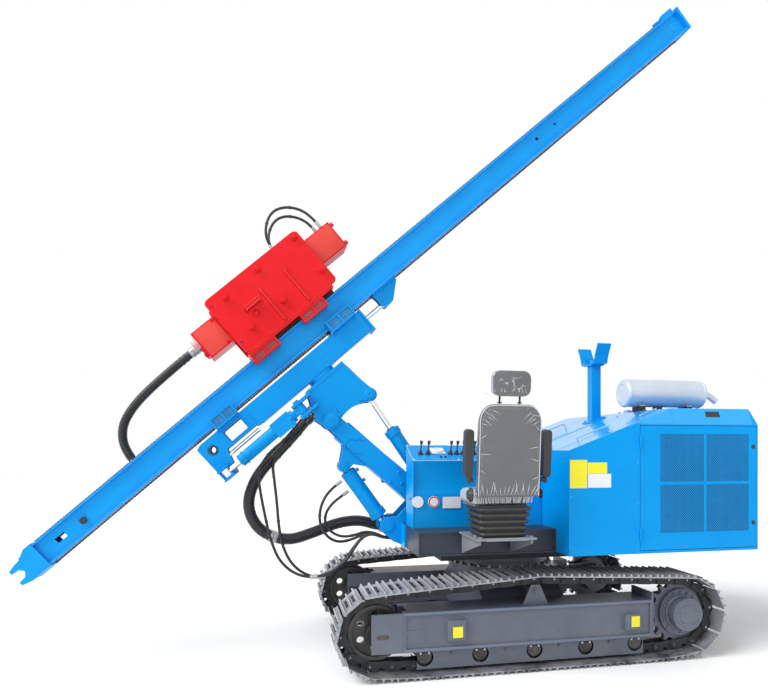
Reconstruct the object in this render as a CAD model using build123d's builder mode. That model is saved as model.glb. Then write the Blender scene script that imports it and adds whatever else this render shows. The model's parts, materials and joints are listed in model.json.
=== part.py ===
# Crawler pile driver rig, millimetres.
# Working frame: X runs to the rear, Y to the machine's right, Z up from the ground,
# with the slew axis at X = 0 and the middle plane at Y = 0. The last lines shift every
# piece so that the origin ends up under the middle of the whole machine's box.
from build123d import *
from math import acos, atan2, cos, hypot, pi, radians, sin, tan
import os

os.makedirs("parts", exist_ok=True)

# ---------------------------------------------------------------- driving dimensions
running_gap = 0.05          # radial clearance of a pin in its hole
side_gap = 6.0              # clearance between pieces that swing past each other
guide_gap = 0.3             # clearance of a guide shoe on its rail

# undercarriage
track_gauge = 1500.0        # between the chain centre lines
shoe_width = 380.0
shoe_thickness = 8.0
grouser_height = 20.0
link_height = 72.0          # from the roller tread to the shoe
link_count = 40
chain_half_width = 60.0
rail_width = 22.0
idler_x, idler_z, idler_radius = -1180.0, 314.0, 190.0
sprocket_x, sprocket_z, sprocket_radius = 1190.0, 330.0, 198.0
roller_radius = 55.0
roller_xs = [-840.0, -434.0, -26.0, 375.0, 773.0]
carrier_x, carrier_radius = -12.0, 45.0
carrier_tread_z = 600.0
frame_front_x, frame_rear_x = -1000.0, 886.0
frame_bottom_z, frame_top_z = 187.0, 458.0
frame_half_width = 150.0    # side frame, either side of the chain line
frame_outer_y = track_gauge / 2 + frame_half_width
frame_inner_y = track_gauge / 2 - frame_half_width
frame_wall = 14.0
ring_top_z = 726.0
ring_bottom_z = 650.0
ring_radius = 400.0

# deck
deck_front_x, deck_rear_x = -855.0, 1720.0
deck_half_width = 720.0
deck_bottom_z, deck_top_z = 810.0, 985.0
deck_plate = 12.0
deck_floor_z = 870.0        # top of the floor under the engine housing

# engine housing
hood_front_x, hood_rear_x = 201.0, 1762.0
hood_half_width = 940.0
hood_bottom_z = 812.0
hood_nose_z = 1572.0        # height of the upright front panel
hood_slope_end_x = 1038.0
hood_roof_z = 1890.0
hood_shoulder = 46.0        # how far the roof edge stands in from the side
hood_shoulder_z = 1768.0
sheet = 4.0
door_front_x, door_rear_x = 768.0, 1752.0
door_bottom_z, door_top_z = 836.0, 1756.0
door_gap = 5.0
panel_gap = 1.5             # joint between two fixed panels
edge_flange = 22.0          # turned-in edge of a door

# boom linkage, side view coordinates (x, z)
foot_pin = (-660.0, 1145.0)
head_pin = (-1428.0, 1812.0)
boom_lug = (-1319.0, 1444.0)        # boom cylinder, barrel end
boom_base = (-981.0, 975.0)         # boom cylinder, rod end
tilt_pin = (-1118.0, 2016.0)        # tilt cylinder, rod end on the knuckle
tilt_base = (-554.0, 1190.0)        # tilt cylinder, barrel end on the boom's heel
pin_radius = 27.0
boom_half_width = 92.0
boom_depth = 172.0
boom_plate = 14.0

# mast: u runs up the mast, v away from the cradle
mast_angle = 41.5
mast_x, mast_z = -1460.0, 2633.0
mast_half_depth = 97.0
mast_half_width = 100.0
mast_flange = 14.0
mast_web = 8.0
mast_web_y = 72.0           # outer face of each web
mast_foot_u, mast_head_u = -2880.0, 4202.0

mast_plane = Plane(
    origin=(mast_x, 0, mast_z),
    x_dir=(cos(radians(mast_angle)), 0, sin(radians(mast_angle))),
    z_dir=(0, -1, 0),
)

pieces = {}                 # node name to finished part


def both(make):
    """The left and the right copy of a piece, as one part."""
    with BuildPart() as pair:
        for side in (-1, 1):
            add(make(side))
    return pair.part


def keep(name, part):
    """Label a finished piece and remember it under its node name."""
    part.label = name
    pieces[name] = part


def outline(points, y=0.0, plane=Plane.XZ):
    """A closed straight-sided side-view profile on the plane at width y."""
    with BuildSketch(plane.offset(-y)) as face:
        with BuildLine():
            Polyline(*points, close=True)
        make_face()
    return face.sketch


def towards(start, end):
    """A plane whose normal runs from one side-view point to another."""
    return Plane(
        origin=(start[0], 0, start[1]),
        x_dir=(0, 1, 0),
        z_dir=(end[0] - start[0], 0, end[1] - start[1]),
    )


def distance(a, b):
    return hypot(b[0] - a[0], b[1] - a[1])


# ---------------------------------------------------------------- track chain path
def belt(circles):
    """Straight runs and arcs of a belt round circles (x, z, radius) listed anticlockwise.
    Each entry is (length, start point, start direction angle, radius), radius 0 when straight."""
    tangents = []
    for (x1, z1, r1), (x2, z2, r2) in zip(circles, circles[1:] + circles[:1]):
        run = hypot(x2 - x1, z2 - z1)
        heading = atan2(z2 - z1, x2 - x1)
        normal = heading - acos((r1 - r2) / run)
        tangents.append((
            (x1 + r1 * cos(normal), z1 + r1 * sin(normal)),
            (x2 + r2 * cos(normal), z2 + r2 * sin(normal)),
            normal,
        ))
    path = []
    for (x, z, r), before, after in zip(circles, tangents[-1:] + tangents[:-1], tangents):
        turn = (after[2] - before[2]) % (2 * pi)
        path.append((r * turn, (x, z), before[2], r))
        path.append((distance(after[0], after[1]), after[0], after[2] + pi / 2, 0))
    return path


def along(path, s):
    """The point at distance s along a belt path."""
    s = s % sum(part[0] for part in path)
    for length, start, angle, radius in path:
        if s <= length:
            break
        s -= length
    if radius:
        angle += s / radius
        return (start[0] + radius * cos(angle), start[1] + radius * sin(angle))
    return (start[0] + s * cos(angle), start[1] + s * sin(angle))


pin_offset = link_height / 2                # chain pins above the roller tread
shoe_base = link_height / 2                 # shoe underside above the pins
shoe_face = shoe_base + shoe_thickness
grouser_tip = shoe_face + grouser_height
roller_z = grouser_height + shoe_thickness + link_height + roller_radius
carrier_z = carrier_tread_z - carrier_radius
half_pitch = 77.0                           # half the nominal chain pitch
bend_lead = 100.0                           # the flat ground run reaches this far past the end rollers

idler_pin_radius = hypot(idler_radius + pin_offset, half_pitch)
sprocket_pin_radius = hypot(sprocket_radius + pin_offset, half_pitch)
chain_path = belt([
    (carrier_x, carrier_z, carrier_radius + pin_offset),
    (idler_x, idler_z, idler_pin_radius),
    (roller_xs[0] - bend_lead, roller_z, roller_radius + pin_offset),
    (roller_xs[-1] + bend_lead, roller_z, roller_radius + pin_offset),
    (sprocket_x, sprocket_z, sprocket_pin_radius),
])
chain_length = sum(run[0] for run in chain_path)
pitch = chain_length / link_count
print("chain pitch", round(pitch, 2))
pins = [along(chain_path, chain_path[0][0] / 2 + i * pitch) for i in range(link_count)]


def loop_points(profile):
    """Repeat a link's profile, (share of pitch, height over the pins), round the chain."""
    points = []
    for (x1, z1), (x2, z2) in zip(pins, pins[1:] + pins[:1]):
        tx, tz = (x2 - x1) / pitch, (z2 - z1) / pitch
        size = hypot(tx, tz)
        nx, nz = tz / size, -tx / size
        for share, height in profile:
            points.append((
                x1 + (x2 - x1) * share + nx * height,
                z1 + (z2 - z1) * share + nz * height,
            ))
    return points


grousers = [0.14, 0.5, 0.86]                # places of the three bars on a shoe, in pitches
shoe_profile = [(0.03, shoe_face)]
for place in grousers:
    shoe_profile += [(place - 0.06, shoe_face), (place, grouser_tip), (place + 0.06, shoe_face)]
shoe_profile += [(0.97, shoe_face)]


def track(side):
    middle = side * track_gauge / 2
    with BuildPart() as chain:
        shoes = outline(loop_points(shoe_profile), middle + shoe_width / 2)
        extrude(shoes, amount=shoe_width)
        hollow = outline(loop_points([(0.0, shoe_base)]), middle + shoe_width / 2)
        extrude(hollow, amount=shoe_width, mode=Mode.SUBTRACT)
        for edge in (middle + chain_half_width, middle - chain_half_width + rail_width):
            rails = outline(loop_points([(0.0, shoe_base + 2)]), edge)
            tread = outline(loop_points([(0.0, -pin_offset)]), edge)
            extrude(rails - tread, amount=rail_width)
    return chain.part


# ---------------------------------------------------------------- undercarriage
def bar(x, z, radius, y_low, y_high, mode=Mode.ADD):
    with Locations((x, (y_low + y_high) / 2, z)):
        Cylinder(radius, y_high - y_low, rotation=(90, 0, 0), mode=mode)


def block(x_low, x_high, y_low, y_high, z_low, z_high, mode=Mode.ADD):
    with Locations(((x_low + x_high) / 2, (y_low + y_high) / 2, (z_low + z_high) / 2)):
        Box(x_high - x_low, y_high - y_low, z_high - z_low, mode=mode)


axle_radius = 32.0
fork_front_x = -1221.0
motor_radius = 125.0
guard_y = 94.0                              # roller guard plates, either side of the chain line
guard_plate = 8.0
guard_bottom_z = 52.0
pocket_top_z = roller_z + roller_radius + 12


def track_frame(side):
    """Side frame with its idler fork, final drive plate and roller guards."""
    middle = side * track_gauge / 2
    outer, inner = middle + side * frame_half_width, middle - side * frame_half_width
    y_low, y_high = min(outer, inner), max(outer, inner)
    with BuildPart() as frame:
        block(frame_front_x, frame_rear_x, y_low, y_high, frame_bottom_z, frame_top_z)
        # the outer face is a channel: lips above and below a sunk web
        recess = sorted((outer, outer - side * frame_wall))
        block(frame_front_x + 16, frame_rear_x - 16, *recess,
              frame_bottom_z + 20, frame_top_z - 20, mode=Mode.SUBTRACT)
        # the idler's rim reaches into the front end, the rollers' tops into the underside
        block(frame_front_x - 1, idler_x + idler_radius + 26, middle - 68, middle + 68,
              frame_bottom_z - 1, frame_top_z + 1, mode=Mode.SUBTRACT)
        block(roller_xs[0] - 80, roller_xs[-1] + 80, middle - guard_y, middle + guard_y,
              frame_bottom_z - 1, pocket_top_z, mode=Mode.SUBTRACT)
        # fork plates either side of the idler, slotted for its sliding yoke
        for face in (outer, inner + side * frame_wall):
            fork = sorted((face, face - side * frame_wall))
            block(fork_front_x, frame_front_x, *fork, frame_bottom_z, frame_top_z)
            with Locations((idler_x + 24, sum(fork) / 2, idler_z)):
                Box(100, frame_wall, 2 * axle_radius + 4, mode=Mode.SUBTRACT)
        # rear plate, standing above the frame, and the plate that carries the final drive
        block(frame_rear_x, frame_rear_x + 16, y_low + 6, y_high - 6, frame_bottom_z + 15, 512)
        drive = sorted((middle - side * 70, middle - side * 94))
        lug = [(frame_rear_x + 16, 220), (sprocket_x - 40, 190), (sprocket_x + 150, 240),
               (sprocket_x + 150, 420), (sprocket_x - 40, 480), (frame_rear_x + 16, 440)]
        extrude(outline(lug, drive[1]), amount=drive[1] - drive[0])
        bar(sprocket_x, sprocket_z, motor_radius + running_gap, *drive, mode=Mode.SUBTRACT)
        # roller guards with a half-round arch over each roller, and the axle blocks
        for offset in (guard_y, -guard_y - guard_plate):
            y0 = middle + offset
            block(roller_xs[0] - 56, roller_xs[-1] + 66, y0, y0 + guard_plate,
                  guard_bottom_z, frame_bottom_z)
            for x in roller_xs:
                bar(x, roller_z - 24, 62, y0 - 1, y0 + guard_plate + 1, mode=Mode.SUBTRACT)
        for x in roller_xs:
            for y0 in (middle + 64, middle - 64 - 26):
                block(x - 30, x + 30, y0, y0 + 26, roller_z - 30, pocket_top_z)
                bar(x, roller_z, axle_radius - 6 + running_gap, y0, y0 + 26, mode=Mode.SUBTRACT)
        # triangular bracket of the carrier roller
        carrier_face = sorted((middle + side * 72, middle + side * 86))
        bracket = [(carrier_x - 96, frame_top_z), (carrier_x + 96, frame_top_z),
                   (carrier_x + 34, carrier_z + 44), (carrier_x - 34, carrier_z + 44)]
        extrude(outline(bracket, carrier_face[1]), amount=carrier_face[1] - carrier_face[0])
        bar(carrier_x, carrier_z, 18 + running_gap, *carrier_face, mode=Mode.SUBTRACT)
    return frame.part


def idler(side):
    middle = side * track_gauge / 2
    with BuildPart() as wheel:
        bar(idler_x, idler_z, idler_radius - 0.3, middle - chain_half_width, middle + chain_half_width)
        bar(idler_x, idler_z, idler_radius + 14, middle - 32, middle + 32)
        # dished sides leave a rim, a web and a hub
        for y0 in (middle - chain_half_width, middle + 22):
            with Locations(Plane(origin=(idler_x, y0 + 38, idler_z), z_dir=(0, -1, 0))):
                with Locations((0, 0, 19)):
                    Cylinder(idler_radius - 24, 38, mode=Mode.SUBTRACT)
        bar(idler_x, idler_z, 66, middle - chain_half_width, middle + chain_half_width)
        with Locations(Plane(origin=(idler_x, middle, idler_z), z_dir=(0, -1, 0))):
            with PolarLocations(115, 6):
                Cylinder(27, 60, mode=Mode.SUBTRACT)
        axle_half = frame_half_width - frame_wall
        bar(idler_x, idler_z, axle_radius, middle - axle_half, middle + axle_half)
        # yoke blocks that slide in the fork's slots
        for y0 in (middle - frame_half_width + 1, middle + axle_half - 1):
            block(idler_x - 24, idler_x + 60, y0, y0 + frame_wall,
                  idler_z - axle_radius, idler_z + axle_radius)
    return wheel.part


sprocket_teeth = 19


def sprocket(side):
    """Toothed ring on the final drive, its round cover standing out towards the outside."""
    middle = side * track_gauge / 2
    pitch_radius = sprocket_radius + pin_offset
    with BuildPart() as drive:
        bar(sprocket_x, sprocket_z, pitch_radius + 14, middle - 22, middle + 22)
        with Locations(Plane(origin=(sprocket_x, middle, sprocket_z), z_dir=(0, -1, 0))):
            with PolarLocations(pitch_radius + 4, sprocket_teeth):
                Cylinder(27, 60, mode=Mode.SUBTRACT)
        bar(sprocket_x, sprocket_z, 176, *sorted((middle - side * 60, middle + side * 52)))
        cover_y = middle + side * frame_half_width
        bar(sprocket_x, sprocket_z, 122, *sorted((middle + side * 52, cover_y)))
        bar(sprocket_x, sprocket_z, 70, *sorted((cover_y, cover_y + side * 8)))
        bar(sprocket_x, sprocket_z, motor_radius, *sorted((middle - side * 60, middle - side * 186)))
        cover = drive.faces().filter_by(Axis.Y).sort_by(Axis.Y)[-1 if side > 0 else 0]
        fillet(cover.edges(), 5)
    return drive.part


def rollers(side):
    """The bottom rollers and the carrier roller of one track, on their axles."""
    middle = side * track_gauge / 2
    with BuildPart() as row:
        for x in roller_xs:
            bar(x, roller_z, roller_radius - 0.3, middle - 62, middle + 62)
            bar(x, roller_z, roller_radius - 14, middle - 30, middle + 30)
            bar(x, roller_z, axle_radius - 6, middle - 90, middle + 90)
        bar(carrier_x, carrier_z, carrier_radius - 0.3, middle - 62, middle + 62)
        bar(carrier_x, carrier_z, 18, *sorted((middle - side * 62, middle + side * 90)))
    return row.part


cross_half_x = 330.0
cross_bottom_z = 225.0
leg_width = 110.0
leg_end_x = 760.0
leg_top_z = 300.0
leg_flat = 160.0            # length of a leg's level end
tie_hole_radius = 20.0
tie_hole_y = frame_inner_y - 75             # inside the inner edge of the shoes
pedestal_half_y = 400.0
swivel_radius = 90.0

with BuildPart() as cross_frame:
    # the middle box rises from the side frames to the slew ring
    saddle_profile = [
        (-frame_inner_y, cross_bottom_z), (frame_inner_y, cross_bottom_z), (frame_inner_y, 430),
        (pedestal_half_y, 560), (pedestal_half_y, 600), (-pedestal_half_y, 600), (-pedestal_half_y, 560),
        (-frame_inner_y, 430),
    ]
    with BuildSketch(Plane.YZ.offset(-cross_half_x)):
        with BuildLine():
            Polyline(*saddle_profile, close=True)
        make_face()
    extrude(amount=2 * cross_half_x)
    with Locations((0, 0, (600 + ring_bottom_z) / 2)):
        Cylinder(ring_radius + 30, ring_bottom_z - 600)
    with Locations((0, 0, 560)):
        Cylinder(swivel_radius + running_gap, 200, mode=Mode.SUBTRACT)

with BuildPart() as frame_legs:
    # legs spread forwards and backwards along the side frames
    for end in (-1, 1):
        for side in (-1, 1):
            foot = sorted((side * frame_inner_y, side * (frame_inner_y - leg_width)))
            leg = [(end * cross_half_x, cross_bottom_z), (end * leg_end_x, cross_bottom_z),
                   (end * leg_end_x, leg_top_z), (end * (leg_end_x - leg_flat), leg_top_z),
                   (end * cross_half_x, 430)]
            extrude(outline(leg if end > 0 else leg[::-1], foot[1]), amount=leg_width)
            # tie-down hole in the flat end
            with Locations((end * (leg_end_x - leg_flat / 2 + 5), side * tie_hole_y, leg_top_z)):
                Cylinder(tie_hole_radius, leg_width * 3, mode=Mode.SUBTRACT)

ring_split_z = 690.0

with BuildPart() as fixed_ring:
    with Locations((0, 0, (ring_bottom_z + ring_split_z - 2) / 2)):
        Cylinder(ring_radius, ring_split_z - 2 - ring_bottom_z)
        Cylinder(ring_radius - 70, ring_split_z, mode=Mode.SUBTRACT)

with BuildPart() as slew_ring:
    with Locations((0, 0, (ring_split_z + ring_top_z) / 2)):
        Cylinder(ring_radius + 6, ring_top_z - ring_split_z)
    with Locations((0, 0, (480 + ring_split_z) / 2)):
        Cylinder(swivel_radius, ring_split_z - 480)

for hand, side in (("left", -1), ("right", 1)):
    keep(f"track_{hand}", track(side))
    keep(f"track_frame_{hand}", track_frame(side))
keep("idlers", both(idler))
keep("sprockets", both(sprocket))
keep("rollers", both(rollers))
keep("cross_frame", cross_frame.part)
keep("frame_legs", frame_legs.part)
keep("fixed_ring", fixed_ring.part)
keep("slew_ring", slew_ring.part)

# ---------------------------------------------------------------- deck
console_front_x, console_rear_x = -841.0, 196.0
console_near_y, console_far_y = -455.0, -190.0
console_face_z, console_back_z = 1494.0, 1612.0

with BuildPart() as deck:
    # front platform, then the wider floor under the engine housing
    block(deck_front_x, hood_front_x - 0.3, -deck_half_width, deck_half_width, deck_bottom_z, deck_top_z)
    floor_half = hood_half_width - sheet - edge_flange - side_gap
    block(hood_front_x + sheet + 0.3, deck_rear_x, -floor_half, floor_half,
          deck_bottom_z, deck_floor_z)
    # sunk web in each side of the platform
    for side in (-1, 1):
        face = sorted((side * deck_half_width, side * (deck_half_width - deck_plate)))
        block(deck_front_x + 8, hood_front_x - 20, *face, deck_bottom_z + 10, deck_top_z - 12,
              mode=Mode.SUBTRACT)
    # main girders from the slew ring
    block(-620, 900, -440, 440, ring_top_z, deck_bottom_z)
    with Locations((0, 0, ring_top_z)):
        Box(520, 520, 120, mode=Mode.SUBTRACT)
keep("deck", deck.part)

# ---------------------------------------------------------------- boom post
post_inner_y, post_plate = boom_half_width + side_gap, 20.0
hose_wall_x = deck_front_x - 30             # hoses end here, in front of the gusset
post_outline = [
    (deck_front_x, 812), (-930, 840), (-1036, 938), (-1036, 1005), (-1000, 1034), (-900, 1040),
    (-740, 1206), (-690, 1226), (-630, 1226), (-590, 1200), (-560, 1130), (-410, deck_top_z),
    (deck_front_x, deck_top_z),
]

with BuildPart() as boom_post:
    for y0 in (post_inner_y, -post_inner_y - post_plate):
        extrude(outline(post_outline, y0 + post_plate), amount=post_plate)
        bar(*foot_pin, 68, y0, y0 + post_plate)
    # gusset under the cylinder base, closing the two plates in front of the deck
    block(deck_front_x - 14, deck_front_x, -260, 260, 812, deck_top_z)
    for side in (-1, 1):
        outside = side * (post_inner_y + post_plate)
        for x, z in (foot_pin, boom_base):
            bar(x, z, 50, *sorted((outside, outside + side * 14)))
    bar(*foot_pin, pin_radius + 8, -post_inner_y - post_plate, post_inner_y + post_plate)
    # bosses that hold the boom cylinder's eye between the plates
    for side in (-1, 1):
        bar(*boom_base, 46, *sorted((side * post_inner_y, side * 46)))
    # terminal block of the small hoses and the flange of the thick one, on the gusset
    block(hose_wall_x, deck_front_x - 14, -95, 35, 838, 882)
    with Locations(Location((hose_wall_x + 8, 190, 935), (0, 90, 0))):
        Cylinder(58, 16)
keep("boom_post", boom_post.part)

# ---------------------------------------------------------------- operator's console
with BuildPart() as console:
    # side profile across the machine: sloping top, hollow-curved knee panel
    with BuildSketch(Plane.YZ.offset(console_front_x)):
        with BuildLine():
            top = Line((console_far_y, console_back_z), (console_near_y, console_face_z))
            knee = ThreePointArc(top @ 1, (console_near_y + 34, 1372), (console_near_y + 16, 1240))
            Polyline(knee @ 1, (console_near_y + 2, deck_top_z), (console_far_y, deck_top_z),
                     (console_far_y, console_back_z))
        make_face()
    extrude(amount=console_rear_x - console_front_x)
    # end cheeks stand a little proud of the knee panel
    with BuildSketch(Plane.YZ.offset(console_front_x)):
        with BuildLine():
            Polyline((console_near_y, console_face_z), (console_near_y, deck_top_z),
                     (console_near_y + 60, deck_top_z), (console_near_y + 60, console_face_z), close=True)
        make_face()
    extrude(amount=6)
keep("console", console.part)

lever_xs = [-760.0, -700.0, -520.0, -470.0, -420.0, -330.0, -280.0, -230.0]
lever_length = 96.0

with BuildPart() as control_levers:
    # each lever stands on the sloping top on a round boot, with a flared knob
    slope = atan2(console_back_z - console_face_z, console_far_y - console_near_y)
    for x in lever_xs:
        seat_point = (x, console_near_y + 110, console_face_z + 110 * (console_back_z - console_face_z)
                      / (console_far_y - console_near_y))
        with Locations(Plane(origin=seat_point, x_dir=(1, 0, 0), z_dir=(0, -sin(slope), cos(slope)))):
            Cone(20, 9, 26, align=(Align.CENTER, Align.CENTER, Align.MIN))
            Cylinder(5, lever_length, align=(Align.CENTER, Align.CENTER, Align.MIN))
            with Locations((0, 0, lever_length)):
                Cone(9, 13, 26)
keep("control_levers", control_levers.part)

# ---------------------------------------------------------------- operator's seat, facing the console
seat_x = -345.0
seat_width = 480.0
seat_base_z = 985.0
cushion_bottom_z, cushion_top_z = 1200.0, 1310.0
cushion_near_y, cushion_far_y = -1090.0, -700.0

with BuildPart() as seat_bracket:
    # cantilever plate off the platform's side, on two gusseted cheeks
    block(seat_x - 210, seat_x + 210, -1160, -deck_half_width, seat_base_z - 12, seat_base_z)
    for x in (seat_x - 190, seat_x + 178):
        cheek = [(-deck_half_width, seat_base_z - 12), (-1140, seat_base_z - 12),
                 (-1140, seat_base_z - 40), (-deck_half_width, deck_bottom_z + 20)]
        with BuildSketch(Plane.YZ.offset(x)):
            with BuildLine():
                Polyline(*cheek, close=True)
            make_face()
        extrude(amount=12)
keep("seat_bracket", seat_bracket.part)

bellows_folds = 5

with BuildPart() as seat_bellows:
    # rubber skirt of the suspension: a stack of folds, widest at the waist of each
    fold = (cushion_bottom_z - seat_base_z) / bellows_folds
    for i in range(bellows_folds):
        low = seat_base_z + i * fold
        width, depth = 300 + 12 * i, 270 + 8 * i
        with BuildSketch(Plane.XY.offset(low), Plane.XY.offset(low + fold)):
            with Locations((seat_x, -960)):
                RectangleRounded(width, depth, 30)
        with BuildSketch(Plane.XY.offset(low + fold / 2)):
            with Locations((seat_x, -960)):
                RectangleRounded(width + 36, depth + 36, 40)
        loft(ruled=True)
keep("seat_bellows", seat_bellows.part)

with BuildPart() as seat_cushion:
    with BuildSketch(Plane.XY.offset(cushion_bottom_z)):
        with Locations((seat_x, (cushion_near_y + cushion_far_y) / 2)):
            RectangleRounded(seat_width, cushion_far_y - cushion_near_y, 60)
    extrude(amount=cushion_top_z - cushion_bottom_z)
    fillet(seat_cushion.faces().sort_by(Axis.Z)[-1].edges(), 28)
keep("seat_cushion", seat_cushion.part)

recline = 5.0
back_edge = 24.0
back_thickness = 100.0
back_plane = Plane(
    origin=(seat_x, cushion_near_y - 0.3 + (back_edge + 2) * sin(radians(recline)), cushion_bottom_z - 20),
    x_dir=(-1, 0, 0),
    z_dir=(0, cos(radians(recline)), sin(radians(recline))),
)
back_height = 718.0

with BuildPart() as seat_back:
    with BuildSketch(back_plane):
        with BuildLine():
            half = seat_width / 2
            Polyline((-half, 0), (half, 0))
            Line((half, 0), (half, back_height - 120))
            ThreePointArc((half, back_height - 120), (half - 40, back_height - 34), (half - 110, back_height))
            Line((half - 110, back_height), (110 - half, back_height))
            ThreePointArc((110 - half, back_height), (40 - half, back_height - 34), (-half, back_height - 120))
            Line((-half, back_height - 120), (-half, 0))
        make_face()
    extrude(amount=-back_thickness)
    fillet(seat_back.faces().filter_by(lambda f: abs(f.normal_at().Y) > 0.9).edges(), back_edge)
    # headrest on two posts
    with BuildSketch(back_plane.offset(-20)):
        with Locations((0, back_height + 125)):
            RectangleRounded(300, 200, 55)
    extrude(amount=-74)
    with Locations(*[back_plane * Location((x, back_height + 10, -back_thickness / 2)) for x in (-70, 70)]):
        Cylinder(7, 60, rotation=(90, 0, 0))
keep("seat_back", seat_back.part)

with BuildPart() as armrests:
    # both arms are folded up beside the backrest, hinged at its foot
    for side in (-1, 1):
        with BuildSketch(back_plane.offset(-74)):
            with Locations((side * (seat_width / 2 + 32), 380)):
                RectangleRounded(56, 320, 26)
        extrude(amount=64)
        with Locations(back_plane * Location((side * (seat_width / 2 + 12), 205, -50))):
            Cylinder(16, 24, rotation=(0, 90, 0))
        with Locations(back_plane * Location((side * (seat_width / 2 + 30), 212, -50))):
            Box(14, 60, 40)
keep("armrests", armrests.part)


# ---------------------------------------------------------------- engine housing
def hood_block(inset, bottom):
    """The housing's outside shape, drawn in by an inset on every side but the bottom."""
    slope = atan2(hood_roof_z - hood_nose_z, hood_slope_end_x - hood_front_x)
    drop = inset / cos(slope)
    front, rear = hood_front_x + inset, hood_rear_x - inset
    roof, nose = hood_roof_z - inset, hood_nose_z - drop + inset * (hood_roof_z - hood_nose_z) / (
        hood_slope_end_x - hood_front_x)
    slope_end = front + (roof - nose) / (hood_roof_z - hood_nose_z) * (hood_slope_end_x - hood_front_x)
    side_view = [
        (front, bottom), (rear, bottom), (rear, hood_shoulder_z), (rear - hood_shoulder, roof),
        (slope_end, roof), (front, nose),
    ]
    half, shoulder = hood_half_width - inset, hood_half_width - inset - hood_shoulder
    end_view = [
        (-half, bottom), (half, bottom), (half, hood_shoulder_z), (shoulder, roof),
        (-shoulder, roof), (-half, hood_shoulder_z),
    ]
    with BuildPart() as solid:
        extrude(outline(side_view, half), amount=2 * half)
        with BuildSketch(Plane.YZ.offset(front)) as ends:
            with BuildLine():
                Polyline(*end_view, close=True)
            make_face()
        extrude(amount=rear - front, mode=Mode.INTERSECT)
    return solid.part


hood_shell = hood_block(0, hood_bottom_z) - hood_block(sheet, hood_bottom_z - 10)
wide = 2 * hood_half_width


def region(x_low, x_high, y_low, y_high, z_low, z_high):
    """The part of the housing's sheet that lies in a box."""
    with BuildPart() as cell:
        block(x_low, x_high, y_low, y_high, z_low, z_high)
    return hood_shell & cell.part


hinge_x = door_front_x - door_gap / 2
hinge_out = 8.0                             # hinge axis, outside the skin
hinge_radius, hinge_pin = 7.0, 3.0
hinge_knuckle = 50.0
hinge_zs = (door_bottom_z + 120, door_top_z - 120)

screen_plate = 3.0
door_window = [(930.0, 1296.0), (1316.0, 1682.0)], [(960.0, 1318.0), (1338.0, 1696.0)]


def door(side):
    """Side door: a sheet with turned-in edges and four grille fields."""
    outer, inner = side * hood_half_width, side * (hood_half_width - sheet)
    face = sorted((outer, inner))
    lip = sorted((inner, inner - side * edge_flange))
    with BuildPart() as leaf:
        block(door_front_x, door_rear_x, *face, door_bottom_z, door_top_z)
        block(door_front_x, door_rear_x, *lip, door_bottom_z, door_top_z)
        block(door_front_x + sheet, door_rear_x - sheet, *lip, door_bottom_z + sheet,
              door_top_z - sheet, mode=Mode.SUBTRACT)
        for x_low, x_high in door_window[0]:
            for z_low, z_high in door_window[1]:
                block(x_low, x_high, *face, z_low, z_high, mode=Mode.SUBTRACT)
        # flat perforated sheet behind the four fields
        screen = sorted((inner, inner - side * screen_plate))
        block(door_window[0][0][0] - 20, door_window[0][1][1] + 20, *screen,
              door_window[1][0][0] - 20, door_window[1][1][1] + 20)
        # hinge straps on the front edge, each with its middle knuckle
        for z in hinge_zs:
            block(hinge_x, door_front_x + 34, *sorted((outer, outer + side * 3)),
                  z - hinge_knuckle / 2, z + hinge_knuckle / 2)
            with Locations((hinge_x, outer + side * hinge_out, z)):
                Cylinder(hinge_radius, hinge_knuckle)
                Cylinder(hinge_pin + running_gap, 2 * hinge_knuckle, mode=Mode.SUBTRACT)
    return leaf.part


# the skin is cut where its panels meet
front_zone = (hood_front_x - 1, hood_front_x + sheet, -wide, wide, 0, hood_nose_z - 6)
hood_front = region(*front_zone)
with BuildPart() as slope_cell:
    block(hood_front_x - 1, hood_slope_end_x, -wide, wide, hood_nose_z - 6 + panel_gap, 3000)
    for side in (-1, 1):
        block(hood_front_x - 1, hood_slope_end_x, *sorted((side * (hood_half_width - sheet), side * wide)),
              0, hood_shoulder_z + panel_gap, mode=Mode.SUBTRACT)
hood_slope = hood_shell & slope_cell.part
hood_roof = region(hood_slope_end_x + panel_gap, hood_rear_x - hood_shoulder - 1, -wide, wide,
                   hood_shoulder_z + 1, 3000)
hood_rear = region(hood_rear_x - hood_shoulder - 1 + panel_gap, 3000, -hood_half_width + sheet,
                   hood_half_width - sheet, 0, 3000)


def side_panel(side):
    """Fixed side sheet round the door: front corner, bottom rail, rear post and top rail."""
    y_range = sorted((side * (hood_half_width - sheet), side * wide))
    with BuildPart() as panel:
        add(region(hood_front_x + sheet + panel_gap, 3000, *y_range, 0, hood_shoulder_z + 0.5))
        block(door_front_x - door_gap, door_rear_x + door_gap, *y_range,
              door_bottom_z - door_gap, door_top_z + door_gap, mode=Mode.SUBTRACT)
        # jamb behind the front edge that carries the hinges
        jamb = sorted((side * (hood_half_width - sheet), side * (hood_half_width - sheet - 40)))
        block(door_front_x - 40, door_front_x - 36, *jamb, deck_floor_z, door_top_z - 60)
        # fixed half of each hinge: two outer knuckles on a strap, and the pin
        outer = side * hood_half_width
        for z in hinge_zs:
            for end in (-1, 1):
                middle = z + end * (hinge_knuckle * 0.75 + 0.3)
                with Locations((hinge_x, outer + side * hinge_out, middle)):
                    Cylinder(hinge_radius, hinge_knuckle / 2)
                block(hinge_x - 36, hinge_x, *sorted((outer, outer + side * 3)),
                      middle - hinge_knuckle / 4, middle + hinge_knuckle / 4)
            with Locations((hinge_x, outer + side * hinge_out, z)):
                Cylinder(hinge_pin, hinge_knuckle * 1.6)
    return panel.part


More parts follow.
